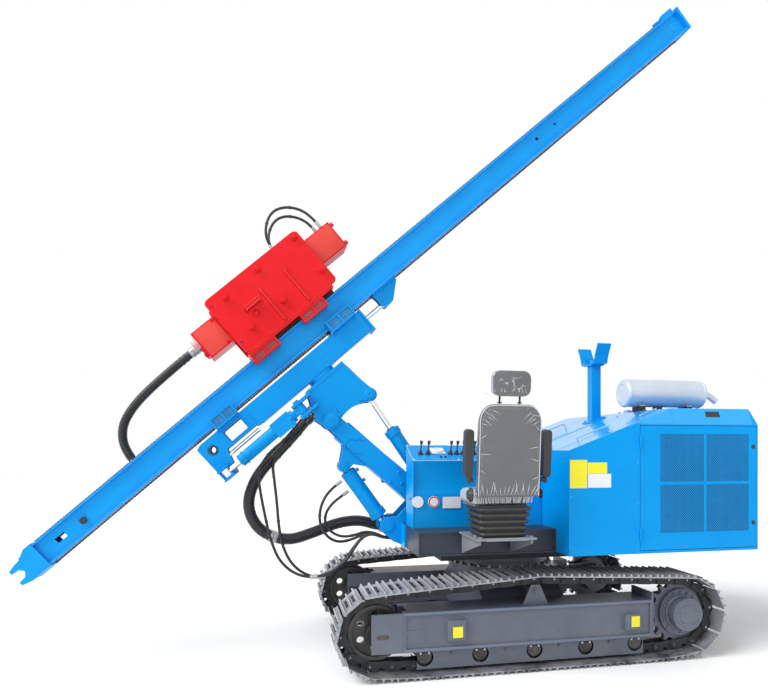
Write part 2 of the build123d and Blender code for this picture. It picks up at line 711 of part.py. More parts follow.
keep("hood_ends", hood_front + hood_rear)
keep("hood_top", hood_slope + hood_roof)
keep("hood_sides", both(side_panel))
for hand, side in (("left", -1), ("right", 1)):
    keep(f"door_{hand}", door(side))

with BuildPart() as engine_block:
    block(560, 1420, -330, 330, deck_bottom_z + 120, 1500)
    for x in (620, 1340):
        for y in (-260, 260):
            block(x - 40, x + 40, y - 40, y + 40, deck_bottom_z + 60, deck_bottom_z + 120)
keep("engine_block", engine_block.part)

muffler_y, muffler_z, muffler_radius = -390.0, 2040.0, 112.0
muffler_x, muffler_length = 930.0, 720.0

with BuildPart() as muffler:
    with Locations(Plane(origin=(muffler_x, muffler_y, muffler_z), z_dir=(1, 0, 0))):
        Cylinder(muffler_radius, muffler_length, align=(Align.CENTER, Align.CENTER, Align.MIN))
    fillet(muffler.edges().filter_by(GeomType.CIRCLE), 16)
    # tail pipe, bent down at its open end
    with BuildLine() as tail_line:
        FilletPolyline((muffler_x + muffler_length - 4, muffler_y, muffler_z),
                       (muffler_x + muffler_length + 70, muffler_y, muffler_z),
                       (muffler_x + muffler_length + 150, muffler_y, muffler_z - 55), radius=60)
    with BuildSketch(Plane(origin=tail_line.line @ 0, z_dir=(1, 0, 0))):
        Circle(27)
        Circle(23, mode=Mode.SUBTRACT)
    sweep(path=tail_line.line)
    # two saddles and the inlet pipe down through the roof
    for x in (muffler_x + 150, muffler_x + muffler_length - 140):
        block(x - 25, x + 25, muffler_y - 60, muffler_y + 60,
              hood_roof_z + 0.3, muffler_z - muffler_radius + 14)
    with Locations((muffler_x + 320, muffler_y, (hood_roof_z + muffler_z) / 2)):
        Cylinder(34, muffler_z - hood_roof_z - 0.6)
keep("muffler", muffler.part)

rest_x, rest_half = 878.0, 42.0
saddle_z = 2318.0
saddle_plate = 10.0
saddle_pad = 22.0           # pads either side of the feed chain, 1 mm under the lying mast
saddle_half = 118.0

with BuildPart() as mast_rest:
    # square post off the sloping panel, with an open saddle of bent plate for the mast
    slope = (hood_roof_z - hood_nose_z) / (hood_slope_end_x - hood_front_x)
    foot_z = hood_nose_z + slope * (rest_x - hood_front_x)
    post = [(rest_x - rest_half, foot_z - slope * rest_half + 0.3),
            (rest_x + rest_half, foot_z + slope * rest_half + 0.3),
            (rest_x + rest_half, saddle_z - 10), (rest_x - rest_half, saddle_z - 10)]
    extrude(outline(post, rest_half), amount=2 * rest_half)
    with BuildSketch(Plane.YZ.offset(rest_x - 62)):
        with BuildLine():
            Polyline((-saddle_half, saddle_z), (saddle_half, saddle_z), (saddle_half + 24, saddle_z + 70),
                     (saddle_half + 74, saddle_z + 160), (saddle_half + 64, saddle_z + 165),
                     (saddle_half + 13, saddle_z + 73), (saddle_half - 8, saddle_z + saddle_plate),
                     (8 - saddle_half, saddle_z + saddle_plate), (-saddle_half - 13, saddle_z + 73),
                     (-saddle_half - 64, saddle_z + 165), (-saddle_half - 74, saddle_z + 160),
                     (-saddle_half - 24, saddle_z + 70), close=True)
        make_face()
    extrude(amount=124)
    for y in (-70, 70):
        block(rest_x - 62, rest_x + 62, y - 32, y + 32, saddle_z, saddle_z + saddle_plate + saddle_pad)
    block(rest_x - 62, rest_x + 62, -70, 70, saddle_z - 10, saddle_z)
keep("mast_rest", mast_rest.part)

# ---------------------------------------------------------------- boom
boom_angle = atan2(head_pin[1] - foot_pin[1], head_pin[0] - foot_pin[0])
boom_length = distance(foot_pin, head_pin)
boom_plane = Plane(
    origin=(foot_pin[0], 0, foot_pin[1]),
    x_dir=(cos(boom_angle), 0, sin(boom_angle)),
    z_dir=(0, -1, 0),
)
# in this plane x runs from the foot pin to the head pin and y points down to the lift cylinder


def in_boom(point):
    local = boom_plane.to_local_coords(Vector(point[0], 0, point[1]))
    return (local.X, local.Y)


lug_along, lug_down = in_boom(boom_lug)
heel_along, heel_down = in_boom(tilt_base)
half_depth = boom_depth / 2
heel_plate_y = 48.0
lug_plate_y = 43.0

with BuildPart() as boom:
    for y0 in (-boom_half_width, boom_half_width - boom_plate):
        with BuildSketch(boom_plane.offset(y0)):
            with BuildLine():
                Polyline((0, -half_depth + 10), (0, half_depth - 10), (180, half_depth),
                         (lug_along - 190, half_depth), (boom_length, half_depth - 22),
                         (boom_length, -half_depth + 22), (320, -half_depth), close=True)
            make_face()
            with Locations((0, 0)):
                Circle(half_depth - 10)
            with Locations((boom_length, 0)):
                Circle(half_depth - 20)
        extrude(amount=boom_plate)
    # bottom plate, and a top plate that stops short of the tilt cylinder
    with BuildSketch(boom_plane.offset(-boom_half_width + boom_plate)):
        with Locations(((60 + boom_length - 120) / 2, half_depth - 7)):
            Rectangle(boom_length - 180, 14)
        with Locations(((280 + boom_length - 120) / 2, 12 - half_depth)):
            Rectangle(boom_length - 400, 14)
    extrude(amount=2 * (boom_half_width - boom_plate))
    # bushing tubes at both ends
    bar(*head_pin, 60, -boom_half_width, boom_half_width)
    bar(*foot_pin, 48, -boom_half_width, boom_half_width)
    # heel lugs behind the foot pin, between the post plates
    for y0 in (-heel_plate_y - 20, heel_plate_y):
        with BuildSketch(boom_plane.offset(y0)):
            with BuildLine():
                Polyline((60, -28), (8, -52), (heel_along + 34, heel_down - 30),
                         (heel_along - 30, heel_down + 30), (-30, 60), (60, 60), close=True)
            make_face()
            with Locations((heel_along, heel_down)):
                Circle(46)
        extrude(amount=20)
    bar(*tilt_base, pin_radius, -heel_plate_y - 20, heel_plate_y + 20)
    # lift cylinder lugs under the boom
    for y0 in (-lug_plate_y - 20, lug_plate_y):
        with BuildSketch(boom_plane.offset(y0)):
            with BuildLine():
                Polyline((lug_along - 150, half_depth - 4), (lug_along + 120, half_depth - 4),
                         (lug_along + 45, lug_down), (lug_along - 45, lug_down),
                         (lug_along - 45, lug_down - 60), close=True)
            make_face()
            with Locations((lug_along, lug_down)):
                Circle(48)
        extrude(amount=20)
    bar(*boom_lug, pin_radius, -lug_plate_y - 20, lug_plate_y + 20)
    for pin in (head_pin, foot_pin):
        bar(*pin, pin_radius + 8 + running_gap, -200, 200, mode=Mode.SUBTRACT)
keep("boom", boom.part)


# ---------------------------------------------------------------- hydraulic cylinders
def barrel(base, tip, start, end, radius, bore, rod, eye, eye_half):
    """Cylinder barrel pinned at base: eye, closed tube, gland with the rod's hole."""
    axis = towards(base, tip)
    with BuildPart(axis) as tube:
        with Locations((0, 0, start)):
            Cylinder(radius, end - start, align=(Align.CENTER, Align.CENTER, Align.MIN))
        # neck between the eye and the tube
        with Locations((0, 0, eye / 2)):
            Cylinder(eye_half - 2, start - eye / 2, align=(Align.CENTER, Align.CENTER, Align.MIN))
        with Locations((0, 0, end - 46)):
            Cylinder(radius + 7, 46, align=(Align.CENTER, Align.CENTER, Align.MIN))
        with Locations((0, 0, start + 18)):
            Cylinder(bore, end - start - 36, align=(Align.CENTER, Align.CENTER, Align.MIN),
                     mode=Mode.SUBTRACT)
        with Locations((0, 0, end - 30)):
            Cylinder(rod + running_gap, 60, mode=Mode.SUBTRACT)
    with BuildPart() as whole:
        add(tube.part)
        bar(*base, eye, -eye_half, eye_half)
        bar(*base, pin_radius + running_gap, -eye_half - 1, eye_half + 1, mode=Mode.SUBTRACT)
    return whole.part


def rod(base, tip, start, bore, radius, eye, eye_half, piston=34.0):
    """Piston rod with its solid eye at the tip; the pin there is in the bracket's bosses."""
    axis = towards(base, tip)
    reach = distance(base, tip)
    with BuildPart(axis) as shaft:
        with Locations((0, 0, start)):
            Cylinder(radius, reach - start, align=(Align.CENTER, Align.CENTER, Align.MIN))
            Cylinder(bore - running_gap, piston, align=(Align.CENTER, Align.CENTER, Align.MIN))
    with BuildPart() as whole:
        add(shaft.part)
        bar(*tip, eye, -eye_half, eye_half)
    return whole.part


lift = dict(start=58.0, end=497.0, radius=62.0, bore=50.0, rod=25.0, eye=46.0, eye_half=37.0)
tilt = dict(start=58.0, end=665.0, radius=58.0, bore=46.0, rod=24.0, eye=44.0, eye_half=42.0)
lift_piston_start, tilt_piston_start = 84.0, 318.0
rod_eye = 40.0
rod_eye_half = 32.0

port_reach = 84.0                           # from a barrel's axis to the face of its hose port
lift_ports = [(85.2, -30.0), (189.8, 30.0)] # (distance from the pin, y)

with BuildPart() as lift_barrel:
    add(barrel(boom_lug, boom_base, **lift))
    for along_axis, y in lift_ports:
        port = Location((y, (port_reach + 54) / 2, along_axis), (90, 0, 0))
        with Locations(towards(boom_lug, boom_base) * port):
            Cylinder(14, port_reach - 54)
keep("boom_cylinder", lift_barrel.part)
keep("boom_rod", rod(boom_lug, boom_base, lift_piston_start, lift["bore"], lift["rod"], rod_eye, rod_eye_half))
keep("tilt_cylinder", barrel(tilt_base, tilt_pin, **tilt))
keep("tilt_rod", rod(tilt_base, tilt_pin, tilt_piston_start, tilt["bore"], tilt["rod"], rod_eye, rod_eye_half))


# ---------------------------------------------------------------- knuckle
def on_mast(point):
    """A side-view point in the mast's own coordinates (u, v)."""
    local = mast_plane.to_local_coords(Vector(point[0], 0, point[1]))
    return (local.X, local.Y)


def mast_block(u_low, u_high, v_low, v_high, y_low, y_high, mode=Mode.ADD):
    """A box lying along the mast, for use inside a part's block."""
    centre = Location(((u_low + u_high) / 2, (v_low + v_high) / 2, -(y_low + y_high) / 2))
    with Locations(mast_plane * centre):
        Box(u_high - u_low, v_high - v_low, y_high - y_low, mode=mode)


def mast_outline(points, y):
    return outline(points, y, mast_plane)


knuckle_plate = 22.0
knuckle_y = boom_half_width + side_gap              # inner face of each cheek
turn_u = -335.0                                     # side swing axis, square to the mast
turn_pin_radius = 50.0
plate_v_low, plate_v_high = -365.0, -345.0
swing_v, swing_y = -424.0, -150.0
swing_base_u, swing_eye_u = -640.0, -1375.0
gate_half = 14.0                            # half the thickness of the hose clamp
hose_gate = Plane(origin=(-1544, 0, 1905), x_dir=(0, 1, 0), z_dir=(-0.604, 0, -0.797))
head_u, head_v = on_mast(head_pin)
lever_u, lever_v = on_mast(tilt_pin)

with BuildPart() as knuckle:
    for y0 in (knuckle_y, -knuckle_y - knuckle_plate):
        with BuildSketch(mast_plane.offset(-(y0 + knuckle_plate))):
            with BuildLine():
                Polyline((-520, plate_v_low), (-150, plate_v_low), (-140, -430))
                ThreePointArc((-140, -430), (-128, -560), (lever_u + 52, lever_v - 12))
                Polyline((lever_u + 52, lever_v - 12), (lever_u - 20, lever_v - 52))
                ThreePointArc((lever_u - 20, lever_v - 52), (-330, -672), (head_u + 52, head_v - 50))
                Polyline((head_u + 52, head_v - 50), (head_u - 62, head_v - 30),
                         (-612, -560), (-520, plate_v_low))
            make_face()
            with Locations((lever_u, lever_v)):
                Circle(54)
            with Locations((head_u, head_v)):
                Circle(74)
        extrude(amount=knuckle_plate)
    # top plate that the cradle turns on, and its pin
    mast_block(-520, -150, plate_v_low, plate_v_high, -knuckle_y - knuckle_plate, knuckle_y + knuckle_plate)
    with Locations(mast_plane * Location((turn_u, plate_v_high + 35, 0), (-90, 0, 0))):
        Cylinder(turn_pin_radius, 70)
    # outside bosses, the head pin, and inner bosses either side of the tilt rod's eye
    for side in (-1, 1):
        outside = side * (knuckle_y + knuckle_plate)
        bar(*head_pin, 60, *sorted((outside, outside + side * 16)))
        bar(*tilt_pin, 42, *sorted((outside, outside + side * 10)))
        bar(*tilt_pin, 40, *sorted((side * knuckle_y, side * 42)))
    bar(*head_pin, pin_radius + 8, -knuckle_y, knuckle_y)
    # clamp that the hoses come out of, between the cheeks
    with Locations(hose_gate):
        Box(2 * knuckle_y + 4, 90, 2 * gate_half)
    # swing cylinder bracket: two ears square to the mast, on the near cheek
    mast_block(-690, -515, swing_v - 62, swing_v - 40, swing_y - 44, -knuckle_y)
    mast_block(-690, -515, swing_v + 40, swing_v + 62, swing_y - 44, -knuckle_y)
    with Locations(mast_plane * Location((swing_base_u, swing_v, -swing_y), (-90, 0, 0))):
        Cylinder(22, 150)
keep("knuckle", knuckle.part)

# ---------------------------------------------------------------- cradle
cradle_u_low, cradle_u_high = -950.0, 231.0
cradle_v_low, cradle_v_high = -313.0, -135.0
cradle_half = 95.0
cradle_plate = 12.0
end_u = -1433.0
slide_v = -211.0
slide_bore, slide_tube, slide_rod = 34.0, 43.0, 19.0
shoe_zones = [(-1220.0, -1012.0), (-60.0, 182.0)]
turn_disc_radius = 118.0

with BuildPart() as cradle:
    for y0 in (-cradle_half, cradle_half - cradle_plate):
        with BuildSketch(mast_plane.offset(-(y0 + cradle_plate))):
            with BuildLine():
                Polyline((cradle_u_high, cradle_v_high), (cradle_u_high, cradle_v_low),
                         (cradle_u_low, cradle_v_low), (cradle_u_low - 30, -290), (-1262, -290),
                         (-1320, -474), (end_u, -474), (end_u, -152), (end_u + 40, cradle_v_high), close=True)
            make_face()
            with Locations(((-1200 - 1035) / 2, -218)):
                RectangleRounded(165, 96, 12, mode=Mode.SUBTRACT)
            with Locations((-1344, -224)):
                Circle(24, mode=Mode.SUBTRACT)
        extrude(amount=cradle_plate)
    inner_half = cradle_half - cradle_plate
    mast_block(end_u + 40, cradle_u_high, cradle_v_high - cradle_plate, cradle_v_high, -inner_half, inner_half)
    mast_block(cradle_u_low, cradle_u_high, cradle_v_low, cradle_v_low + cradle_plate, -inner_half, inner_half)
    # bulkheads carry the slide cylinder's two ends
    for u in (cradle_u_low, cradle_u_high - 15):
        mast_block(u, u + 15, cradle_v_low, cradle_v_high, -inner_half, inner_half)
    mast_block(end_u, end_u + 14, -474, -152, -inner_half, inner_half)
    # end flange round the open end
    mast_block(cradle_u_high - 15, cradle_u_high, cradle_v_low - 16, cradle_v_high + 12, -112, 112)
    with Locations(mast_plane * Location((-400, slide_v, 0), (0, 90, 0))):
        Cylinder(slide_tube, 1400, mode=Mode.SUBTRACT)
    # swing pivot: thrust disc below, bushing inside
    disc_v = (cradle_v_low + plate_v_high + guide_gap) / 2
    with Locations(mast_plane * Location((turn_u, disc_v, 0), (-90, 0, 0))):
        Cylinder(turn_disc_radius, cradle_v_low - plate_v_high - guide_gap)
    with Locations(mast_plane * Location((turn_u, cradle_v_low + cradle_plate + 12, 0), (-90, 0, 0))):
        Cylinder(turn_pin_radius + 24, 30)
    with Locations(mast_plane * Location((turn_u, cradle_v_low, 0), (-90, 0, 0))):
        Cylinder(turn_pin_radius + running_gap, 150, mode=Mode.SUBTRACT)
    # ears for the swing rod at the lower end
    for v in (swing_v - 48, swing_v + 34):
        mast_block(end_u, swing_eye_u + 40, v, v + 14, swing_y - 36, -cradle_half)
keep("cradle", cradle.part)

shoe_half = 150.0


def claw(u_low, u_high, v_edge, back, direction, lip_v, outer_y):
    """One pair of guide shoes hooked round a mast flange, from its back plane to its lips.
    direction -1 hooks the flange from below, +1 from above."""
    with BuildPart() as pair:
        for side in (-1, 1):
            cheek = sorted((side * (mast_half_width + guide_gap), side * outer_y))
            pad_outer = v_edge + direction * guide_gap
            mast_block(u_low, u_high, *sorted((back, lip_v)), *cheek)
            # lip over the flange's inner side
            lip = sorted((side * (mast_half_width + guide_gap), side * (mast_web_y + guide_gap)))
            inner_edge = v_edge - direction * (mast_flange + guide_gap)
            mast_block(u_low, u_high, *sorted((inner_edge, lip_v)), *lip)
            # pad under the flange
            pad = sorted((side * (mast_half_width + guide_gap), side * 40))
            mast_block(u_low, u_high, *sorted((pad_outer, back)), *pad)
            # two rectangular pockets in the outer face
            pocket = sorted((side * (outer_y - 14), side * (outer_y + 1)))
            half_u = (u_low + u_high) / 2
            for u0, u1 in ((u_low + 14, half_u - 7), (half_u + 7, u_high - 14)):
                mast_block(u0, u1, *sorted((back - direction * 14, lip_v + direction * 12)), *pocket,
                           mode=Mode.SUBTRACT)
    return pair.part


with BuildPart() as cradle_shoes:
    for u_low, u_high in shoe_zones:
        add(claw(u_low, u_high, -mast_half_depth, cradle_v_high, -1, -41, shoe_half))
keep("cradle_shoes", cradle_shoes.part)

with BuildPart() as guide_rod:
    with Locations(mast_plane * Location(((end_u + 14 + cradle_u_low) / 2, -331, 60), (0, 90, 0))):
        Cylinder(15, cradle_u_low - end_u - 14)
    mast_block(cradle_u_low - 30, cradle_u_low + 20, -352, cradle_v_low, -84, -36)
keep("guide_rod", guide_rod.part)

slide_tube_low, slide_tube_high = -1000.0, 226.0

with BuildPart() as slide_cylinder:
    with Locations(mast_plane * Location(((slide_tube_low + slide_tube_high) / 2, slide_v, 0), (0, 90, 0))):
        Cylinder(slide_tube - 0.3, slide_tube_high - slide_tube_low)
        Cylinder(slide_bore, slide_tube_high - slide_tube_low - 40, mode=Mode.SUBTRACT)
    with Locations(mast_plane * Location((slide_tube_high, slide_v, 0), (0, 90, 0))):
        Cylinder(slide_rod + running_gap, 100, mode=Mode.SUBTRACT)
keep("slide_cylinder", slide_cylinder.part)

# ---------------------------------------------------------------- side swing cylinder
swing_start, swing_end = 72.0, 600.0
swing_bore, swing_tube, swing_rod_radius = 38.0, 48.0, 20.0
swing_axis = Plane(
    origin=mast_plane.from_local_coords(Vector(swing_base_u, swing_v, -swing_y)),
    x_dir=mast_plane.y_dir,
    z_dir=-mast_plane.x_dir,
)
swing_reach = swing_base_u - swing_eye_u

with BuildPart(swing_axis) as swing_cylinder:
    with Locations((0, 0, swing_start)):
        Cylinder(swing_tube, swing_end - swing_start, align=(Align.CENTER, Align.CENTER, Align.MIN))
    with Locations((0, 0, 185)):
        Box(124, 112, 170)
    with Locations((0, 0, swing_start + 30)):
        Cylinder(swing_bore, swing_end - swing_start - 60, align=(Align.CENTER, Align.CENTER, Align.MIN),
                 mode=Mode.SUBTRACT)
    with Locations((0, 0, swing_end)):
        Cylinder(swing_rod_radius + running_gap, 100, mode=Mode.SUBTRACT)
    with Locations((0, 0, swing_start / 2)):
        Box(60, 60, swing_start)
    with Locations(Location((0, 0, 0), (0, 90, 0))):
        Cylinder(38, 70)
        Cylinder(22 + running_gap, 100, mode=Mode.SUBTRACT)
keep("swing_cylinder", swing_cylinder.part)

with BuildPart(swing_axis) as swing_rod:
    piston_at = 330.0
    with Locations((0, 0, piston_at)):
        Cylinder(swing_rod_radius, swing_reach - piston_at, align=(Align.CENTER, Align.CENTER, Align.MIN))
        Cylinder(swing_bore - running_gap, 30, align=(Align.CENTER, Align.CENTER, Align.MIN))
    with Locations(Location((0, 0, swing_reach), (0, 90, 0))):
        Cylinder(30, 58)
keep("swing_rod", swing_rod.part)

# ---------------------------------------------------------------- mast


def mast_section(u):
    """A plane square to the mast: x across the machine, y away from the cradle."""
    return Plane(origin=mast_plane.from_local_coords(Vector(u, 0, 0)), x_dir=(0, 1, 0), z_dir=mast_plane.x_dir)


foot_box_u = -2729.0
head_hole_radius = 14.0
motor_u, motor_v, motor_shaft = -2365.0, -8.0, 25.5
head_plate = 20.0
flange_v = mast_half_depth - mast_flange / 2

with BuildPart() as mast_beam:
    with BuildSketch(mast_section(foot_box_u)):
        with Locations((0, flange_v), (0, -flange_v)):
            Rectangle(2 * mast_half_width, mast_flange)
        for y in (-mast_web_y + mast_web / 2, mast_web_y - mast_web / 2):
            with Locations((y, 0)):
                Rectangle(mast_web, 2 * mast_half_depth - mast_flange)
    extrude(amount=mast_head_u - head_plate - foot_box_u)
    # small holes through both webs near the head, a slot and an axle hole near the foot
    for u, v, radius in ((2376, 10, head_hole_radius), (2588, 10, head_hole_radius),
                         (motor_u, motor_v, motor_shaft + 0.5)):
        with Locations(mast_plane * Location((u, v, 0))):
            Cylinder(radius, 200, mode=Mode.SUBTRACT)
    mast_block(-2600, -2520, -18, 22, -90, 90, mode=Mode.SUBTRACT)
    # shelf on the far web that the hammer's hose stands on
    mast_block(-1905, -1815, 26, 42, mast_web_y - 2, 200)
    mast_block(-1866, -1854, -40, 26, mast_web_y - 2, 160)
keep("mast_beam", mast_beam.part)

with BuildPart() as mast_foot:
    foot_plate = 16.0
    for y0 in (-112, 112 - foot_plate):
        shape = [
            (foot_box_u, -107), (foot_box_u, 105), (-2790, 105), (-2862, 64), (-2905, 60),
            (-2960, 44), (-2960, 18), (-2905, 12), (-2880, -20), (-2905, -52), (-2960, -58),
            (-2960, -86), (-2890, -107),
        ]
        extrude(mast_outline(shape, y0 + foot_plate), amount=foot_plate)
    mast_block(foot_box_u - 20, foot_box_u, -107, 105, -96, 96)
    mast_block(-2860, foot_box_u - 20, 60, 80, -96, 96)
    mast_block(-2880, foot_box_u - 20, -107, -90, -96, 96)
keep("mast_foot", mast_foot.part)

with BuildPart() as mast_head:
    mast_block(mast_head_u - head_plate, mast_head_u, -108, 108, -118, 118)
    mast_block(mast_head_u - 150, mast_head_u - head_plate, 97, 140, -70, -58)
    mast_block(mast_head_u - 150, mast_head_u - head_plate, 97, 140, 58, 70)
    with Locations(mast_plane * Location((mast_head_u - 90, 122, 0))):
        Cylinder(11, 120)
        Cylinder(22, 30)
keep("mast_head", mast_head.part)

chain_half = 14.0

with BuildPart() as feed_chain:
    # working run on the rails' side and return run underneath
    mast_block(foot_box_u + 2, mast_head_u - 160, mast_half_depth + 0.3, mast_half_depth + 20,
               -chain_half, chain_half)
    mast_block(foot_box_u + 2, mast_head_u - 60, -mast_half_depth - 16, -mast_half_depth - 0.3,
               -chain_half, chain_half)
keep("feed_chain", feed_chain.part)

bracket_eye_u = 453.0
slide_pin_radius = 16.0

with BuildPart() as slide_bracket:
    for y0 in (-46, 30):
        shape = [(400, -97.3), (644, -97.3), (640, -130), (510, -240), (430, -248), (408, -215), (412, -160)]
        extrude(mast_outline(shape, y0 + 16), amount=16)
    mast_block(400, 644, -111, -97.3, -80, -chain_half - 4)
    mast_block(400, 644, -111, -97.3, chain_half + 4, 80)
    # pin that holds the slide cylinder's rod between the plates
    with Locations(mast_plane * Location((bracket_eye_u, slide_v, 0))):
        Cylinder(slide_pin_radius, 100)
keep("slide_bracket", slide_bracket.part)

slide_piston_u = -700.0

with BuildPart() as slide_rod_part:
    length = bracket_eye_u - 20 - slide_piston_u
    with Locations(mast_plane * Location((slide_piston_u + length / 2, slide_v, 0), (0, 90, 0))):
        Cylinder(slide_rod, length)
    with Locations(mast_plane * Location((bracket_eye_u, slide_v, 0))):
        Cylinder(34, 58)
        Cylinder(slide_pin_radius + running_gap, 70, mode=Mode.SUBTRACT)
    with Locations(mast_plane * Location((slide_piston_u + 15, slide_v, 0), (0, 90, 0))):
        Cylinder(slide_bore - running_gap, 30)
keep("slide_rod", slide_rod_part.part)

motor_flange_y, motor_end_y = 120.0, 250.0

with BuildPart() as feed_motor:
    for radius, y_low, y_high in ((50, mast_web_y + 0.3, motor_flange_y), (46, motor_flange_y, motor_end_y),
                                  (motor_shaft, -mast_web_y - 20, mast_web_y + 0.3)):
        with Locations(mast_plane * Location((motor_u, motor_v, -(y_low + y_high) / 2))):
            Cylinder(radius, y_high - y_low)
keep("feed_motor", feed_motor.part)

# ---------------------------------------------------------------- hammer
hammer_half = 170.0
hammer_plate = 20.0
hammer_low_u, hammer_high_u = -668.0, 236.0
hammer_low_v, hammer_high_v = 150.0, 640.0
tool_v, tool_radius, tool_depth = 417.0, 38.0, 130.0
bolt_places = [(-515, 570), (-189, 586), (186, 600), (189, 282), (-194, 287), (-512, 282)]

with BuildPart() as hammer_body:
    for y0 in (-hammer_half, hammer_half - hammer_plate):
        with BuildSketch(mast_plane.offset(-(y0 + hammer_plate))):
            with Locations(((hammer_low_u + hammer_high_u) / 2, (hammer_low_v + hammer_high_v) / 2)):
                RectangleRounded(hammer_high_u - hammer_low_u, hammer_high_v - hammer_low_v, 34)
        extrude(amount=hammer_plate)
    # the breaker body between the plates, its head and its front end
    core = hammer_half - hammer_plate
    mast_block(hammer_low_u + 30, hammer_high_u - 30, 210, 610, -core, core)
    mast_block(hammer_high_u - 30, 489, 315, 545, -112, 112)
    mast_block(-888, hammer_low_u + 30, 300, 535, -112, 112)
    for v in (345, 520):
        with Locations(*[mast_plane * Location((500, v, y), (0, 90, 0)) for y in (60, -60)]):
            Cylinder(17, 46)
    # hose fittings: one at the lower end, two at the edge of the body and two on the head
    with Locations(mast_plane * Location((-894, 455, -76), (0, 90, 0))):
        Cylinder(40, 12)
    for u, v_low, v_high, y in ((28, 608, 642, -40), (40, 608, 642, 36),
                                (436, 543, 561, -40), (404, 543, 561, 36)):
        with Locations(mast_plane * Location((u, (v_low + v_high) / 2, -y), (-90, 0, 0))):
            Cylinder(16, v_high - v_low)
    # socket for the driving cap's shank, open downwards
    with Locations(mast_plane * Location((-888, tool_v, 0), (0, 90, 0))):
        Cylinder(tool_radius, 2 * tool_depth, mode=Mode.SUBTRACT)
    # two plate ribs and the lifting lug on each side plate
    for side in (-1, 1):
        outside = side * hammer_half
        for u in (-36, -276):
            mast_block(u - 6, u + 6, 164, 456, *sorted((outside, outside + side * 24)))
        mast_block(-463, -320, 396, 424, *sorted((outside, outside + side * 46)))
        for u, v in bolt_places:
            with Locations(mast_plane * Location((u, v, -(outside + side * 9)))):
                Cylinder(24, 18)
keep("hammer_body", hammer_body.part)

carriage_zones = [(-668.0, -425.0), (-176.0, 55.0)]

with BuildPart() as hammer_carriage:
    # sole plate under the hammer with two pairs of shoes on the mast's upper flange
    mast_block(hammer_low_u, hammer_high_u - 60, 127, 150, -hammer_half, hammer_half)
    for u_low, u_high in carriage_zones:
        add(claw(u_low, u_high, mast_half_depth, 127, 1, 51, hammer_half + 8))
keep("hammer_carriage", hammer_carriage.part)

# ---------------------------------------------------------------- hoses
def upon_mast(*rows):
    """Points given in mast coordinates (u, v, y), as points of the working frame."""
    return [tuple(mast_plane.from_local_coords(Vector(u, v, -y))) for u, v, y in rows]


def from_gate(y, offset, reach):
    """A point below the hose clamp: y across, offset up its face, reach from its middle."""
    return tuple(hose_gate.from_local_coords(Vector(y, -offset, reach)))


# name: (diameter, points, index of the run in whose middle the hose is cut in two, or None)
hoses = {
    "main": (86.0, [
        from_gate(8, 0, 14), from_gate(8, 0, 225), (-1845, 14, 1545), (-2005, 16, 1365), (-2080, 24, 1140),
        (-1984, 50, 930), (-1765, 95, 838), (-1545, 138, 900), (-1345, 168, 975), (-1150, 186, 988),
        (-1010, 190, 935), (hose_wall_x, 190, 935),
    ], 5),
    "thin_a": (22.0, [
        from_gate(-66, 2, 14), from_gate(-66, 2, 170), (-1782, -72, 1655), (-1905, -76, 1552),
        (-1988, -78, 1415), (-1968, -80, 1245), (-1932, -76, 1060), (-1890, -70, 865), (-1812, -58, 683),
        (-1652, -46, 568), (-1462, -48, 576), (-1300, -58, 690), (-1240, -66, 790), (-1175, -74, 880),
        (-1090, -78, 905), (-985, -78, 862), (hose_wall_x, -78, 862),
    ], 9),
    "thin_b": (22.0, [
        from_gate(-66, -30, 14), from_gate(-66, -30, 170), (-1765, -66, 1612), (-1880, -62, 1488),
        (-1862, -60, 1330), (-1842, -56, 1160), (-1830, -52, 985), (-1800, -40, 815), (-1723, -22, 661),
        (-1594, -12, 567), (-1452, -8, 561), (-1325, -16, 669), (-1240, -30, 795), (-1165, -42, 885),
        (-1078, -46, 900), (-985, -46, 858), (hose_wall_x, -46, 858),
    ], 9),
    "loop_a": (22.0, [
        (-1337, -30, 1326), (-1400, -33, 1280), (-1470, -50, 1205), (-1512, -66, 1105), (-1514, -76, 990),
        (-1462, -74, 892), (-1370, -50, 838), (-1262, -20, 850), (-1160, -10, 892), (-1072, -12, 890),
        (-980, -14, 854), (hose_wall_x, -14, 854),
    ], None),
    "loop_b": (22.0, [
        (-1276, 30, 1241), (-1338, 33, 1196), (-1412, 50, 1135), (-1462, 68, 1050), (-1458, 76, 965),
        (-1400, 72, 895), (-1315, 58, 865), (-1222, 40, 880), (-1140, 28, 910), (-1062, 20, 897),
        (-975, 18, 854), (hose_wall_x, 18, 854),
    ], None),
    "hammer": (64.0, upon_mast(
        (-900, 455, 76), (-1060, 455, 76), (-1240, 452, 84), (-1420, 446, 96), (-1590, 425, 112),
        (-1752, 365, 134), (-1860, 212, 160), (-1860, 42, 160),
    ), None),
    "head_a": (21.0, upon_mast(
        (28, 642, -40), (28, 724, -40), (96, 822, -50), (204, 880, -50), (312, 858, -44),
        (400, 772, -42), (436, 664, -40), (436, 561, -40),
    ), None),
    "head_b": (21.0, upon_mast(
        (40, 642, 36), (40, 716, 36), (104, 796, 48), (205, 842, 54), (296, 820, 48),
        (368, 744, 40), (404, 652, 36), (404, 561, 36),
    ), None),
}
bend_share = 0.45                           # a bend uses this much of the shorter run beside it


def hose(name, diameter, points, radii):
    """A round hose along straight runs joined by tangent arcs, with a length and volume check."""
    with BuildPart() as tube:
        with BuildLine() as centre:
            FilletPolyline(*points, radius=radii)
        with BuildSketch(Plane(origin=centre.line @ 0, z_dir=centre.line % 0)):
            Circle(diameter / 2)
        sweep(path=centre.line)
    length = sum(edge.length for edge in centre.edges())
    share = tube.part.volume / (length * pi * diameter ** 2 / 4)
    print(f"hose_{name}", "length", round(length), "volume share", round(share, 4),
          "radii", [round(r) for r in radii])
    keep(f"hose_{name}", tube.part)


